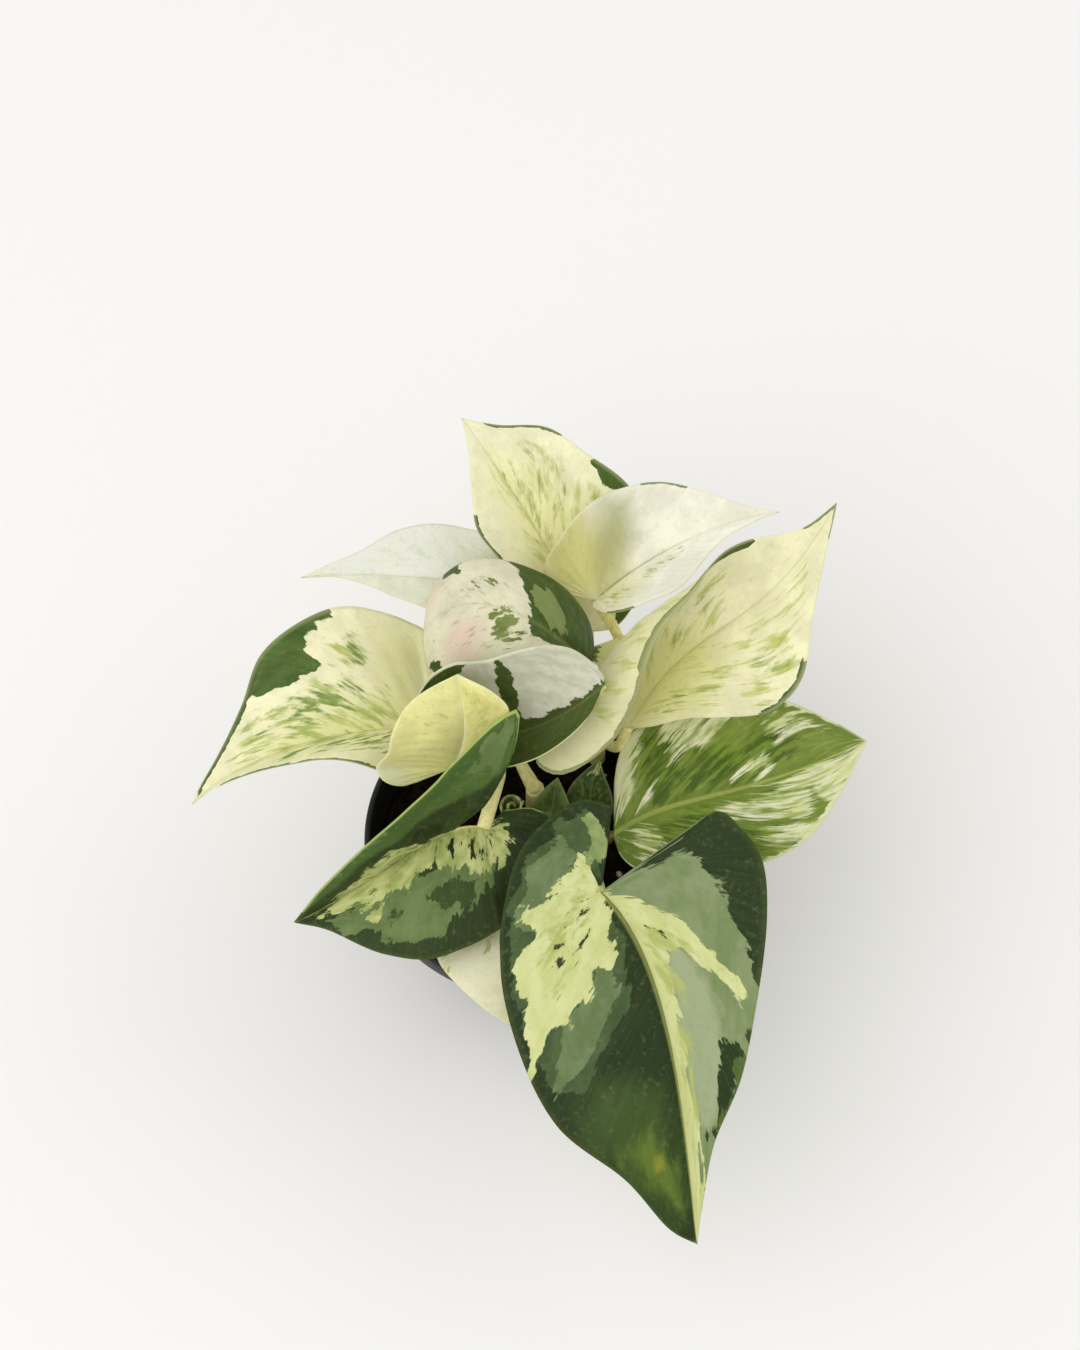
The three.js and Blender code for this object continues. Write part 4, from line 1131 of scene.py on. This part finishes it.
def potMaterial():
    skin = potSkin
    material, shader = startMaterial("black pot plastic")
    place = objectPlace(material)
    dust = addNoise(place, skin["dust"], 5, (1, 2, 3))
    worn = addStep(dust, skin["dustLimits"])
    colour = layOver(skin["black"], worn, skin["dustShare"], skin["worn"])
    rough = addNode(material.node_tree, "ShaderNodeMapRange")
    connect(dust, rough.inputs["Value"])
    setSockets(rough, {"To Min": skin["roughness"][0], "To Max": skin["roughness"][1]})
    connect(rough.outputs["Result"], shader.inputs["Roughness"])
    grain = addNoise(place, skin["grain"], 2, (0, 0, 0))
    return finishMaterial(material, shader, colour, skin["shader"], grain, skin["bump"])


def makePot():
    p = potSizes
    rim, top, base, floor = p["rimRadius"], p["height"], p["baseRadius"], p["floorThickness"]
    band = top - p["rimBand"]
    profile = [  # from the middle of the underside, up outside, over the rim and down to the floor's middle
        (0, 0), (base - 1, 0), (base - 0.3, 0.3), (base, 1),
        (rim - p["bandStep"], band - 0.5), (rim - 0.6, band), (rim - 0.1, band + 0.3), (rim, band + 0.8),
        (rim, top - 1), (rim - 0.2, top - 0.5), (rim - 0.5, top - 0.2), (rim - 1.1, top),
        (rim - 1.7, top - 0.2), (rim - 2, top - 1), (rim - 2.2, band + 1), (potInside(band - 2), band - 2),
        (potInside(floor + 2), floor + 2), (potInside(floor) - 1.5, floor), (0, floor),
    ]
    bm = bmesh.new()
    verts = [bm.verts.new((radius * mm, 0, z * mm)) for radius, z in profile]
    edges = [bm.edges.new(pair) for pair in zip(verts, verts[1:])]
    bmesh.ops.spin(bm, geom=verts + edges, cent=(0, 0, 0), axis=(0, 0, 1), angle=2 * math.pi,
                   steps=p["sides"], use_merge=True)
    bmesh.ops.remove_doubles(bm, verts=bm.verts[:], dist=1e-6)
    bmesh.ops.recalc_face_normals(bm, faces=bm.faces[:])
    pot = toObject(bm, "pot_fine", [potMaterial()])
    bm = bmesh.new()
    for i in range(p["holes"]):
        angle = 2 * math.pi * (i + 0.5) / p["holes"]
        radius = p["holeRadius"] * mm
        made = bmesh.ops.create_cone(bm, cap_ends=True, segments=p["holeSides"], radius1=radius,
                                     radius2=radius, depth=p["cutDepth"] * mm)["verts"]
        place = Vector((p["holeRing"] * math.cos(angle), p["holeRing"] * math.sin(angle), 1)) * mm
        bmesh.ops.translate(bm, verts=made, vec=place)
    cutter = toObject(bm, "hole_cutter", [])
    cut = pot.modifiers.new("holes", "BOOLEAN")
    cut.operation = "DIFFERENCE"
    cut.object = cutter
    cut.solver = "EXACT"
    bpy.context.view_layer.update()
    shaped = bpy.data.meshes.new_from_object(pot.evaluated_get(bpy.context.evaluated_depsgraph_get()))
    pot.modifiers.clear()
    pot.data = shaped
    bpy.data.objects.remove(cutter)
    shaped.shade_smooth()
    shaped.set_sharp_from_angle(angle=math.radians(p["sharpAngle"]))
    finishPiece(pot, "pot", "pot")
    print("pot made")


# soil, crumbs and perlite

soilSizes = {
    "top": 66, "rings": 60, "sides": 150,
    "topShare": 0.8, "sideShare": 0.1,  # of the rings; the rest lie on the underside
    "lump": 0.9, "grains": ((0.9, 3.2, 4), (0.5, 1.3, 8)),  # height, width and layer of the noise
    "underGap": 0.3, "underInset": 1.8, "topInset": 0.5, "topDip": 3,
    "crumbs": 1500, "crumbSize": (0.35, 1.25), "crumbReach": 0.985, "crumbLift": 0.1,
    "perlite": 34, "perliteSize": (0.5, 1.2), "perliteReach": 0.95, "perliteLift": 0.3,
    "perlitePlaces": [(23, -22), (35, -21), (28, -17), (-30, 6), (-24, 17), (-36, 12), (30, -10)],
    "stretch": (0.6, 1.3), "bump": 0.35, "bumpScale": 810,
}

soilSkin = {
    "noise": ((420, 420, 420), 6, (0, 0, 0)), "limits": (0.3, 0.75),
    "tones": ((6, 5, 4), (38, 27, 21)), "bump": (0.8, 0.0012),
    "shader": {"Roughness": 0.95, "Specular IOR Level": 0.1},
}

perliteSkin = {
    "noise": ((1500, 1500, 1500), 4, (0, 0, 0)), "limits": (0.35, 0.6),
    "tones": ((176, 160, 150), (226, 220, 212)), "bump": (0.7, 0.0005),
    "shader": {"Roughness": 0.9},
}


def soilHeight(x, y):
    # low waves from slanting sines, then small unevenness from noise
    lump = soilSizes["lump"]
    height = soilSizes["top"]
    height += lump * math.sin(x * 0.31 + 1.2) * math.sin(y * 0.27 + 0.4)
    height += lump * 0.6 * math.sin(x * 0.13 - y * 0.47)
    height += lump * 0.4 * math.sin(x * 0.71 + y * 0.52 + 2)
    for rise, width, layer in soilSizes["grains"]:
        height += rise * noise.noise((x / width, y / width, layer))
    return height


def anyPlace(rng, reach):
    angle, radius = rng.uniform(0, 2 * math.pi), reach * math.sqrt(rng.random())
    return radius * math.cos(angle), radius * math.sin(angle)


def addGrain(bm, x, y, lift, size, rng, detail):
    s = soilSizes
    made = bmesh.ops.create_icosphere(bm, subdivisions=detail, radius=size * mm)["verts"]
    place = Vector((x, y, soilHeight(x, y) + lift)) * mm
    stretch = [rng.uniform(*s["stretch"]) for _ in range(3)]
    shift = rng.uniform(0, 50)
    for vert in made:
        bump = noise.noise(vert.co * (s["bumpScale"] / size) + Vector((shift, 0, 0)))
        vert.co = Vector(vert.co[k] * stretch[k] * (1 + s["bump"] * bump) for k in range(3)) + place


def makeSoil():
    s = soilSizes
    floor = potSizes["floorThickness"]
    bottom, bottomRadius = floor + s["underGap"], potInside(floor) - s["underInset"]
    topRadius = potInside(s["top"] - s["topDip"]) - s["topInset"]
    bm = bmesh.new()
    for vert, share, turn in gridShares(bm, s["rings"], s["sides"]):
        down = (share - s["topShare"]) / s["sideShare"]
        angle = 2 * math.pi * turn
        radius, z = topRadius * share / s["topShare"], None
        if down > 1:
            radius, z = bottomRadius * (1 - share) / s["sideShare"], bottom
        elif down > 0:
            radius = topRadius + (bottomRadius - topRadius) * down
            z = s["top"] * (1 - down) + bottom * down
        x, y = radius * math.cos(angle), radius * math.sin(angle)
        vert.co = Vector((x, y, soilHeight(x, y) if z is None else z)) * mm
    bmesh.ops.remove_doubles(bm, verts=bm.verts[:], dist=1e-6)
    bmesh.ops.recalc_face_normals(bm, faces=bm.faces[:])
    mix = twoToneMaterial("potting mix", soilSkin)
    finishPiece(toObject(bm, "soil_fine", [mix]), "soil", "soil")
    rng = random.Random(8)
    bm = bmesh.new()
    for _ in range(s["crumbs"]):
        x, y = anyPlace(rng, topRadius * s["crumbReach"])
        addGrain(bm, x, y, s["crumbLift"], rng.uniform(*s["crumbSize"]), rng, 1)
    finishPiece(toObject(bm, "soil_crumbs", [mix], smooth=False), "soil")
    bm = bmesh.new()
    places = list(s["perlitePlaces"])
    while len(places) < s["perlite"]:
        places.append(anyPlace(rng, topRadius * s["perliteReach"]))
    for x, y in places:
        addGrain(bm, x, y, s["perliteLift"], rng.uniform(*s["perliteSize"]), rng, 2)
    finishPiece(toObject(bm, "perlite_grains", [twoToneMaterial("perlite", perliteSkin)]), "soil")
    print("soil made")


makeStudio()
stalkMaterials = {}
for kind, tones in stalkTones.items():
    stalkMaterials[kind] = twoToneMaterial(kind + " stalk", {**stalkSkin, "tones": tones})
makeLeaves()
makeStems()
makeRolledLeaf()
makePot()
makeSoil()
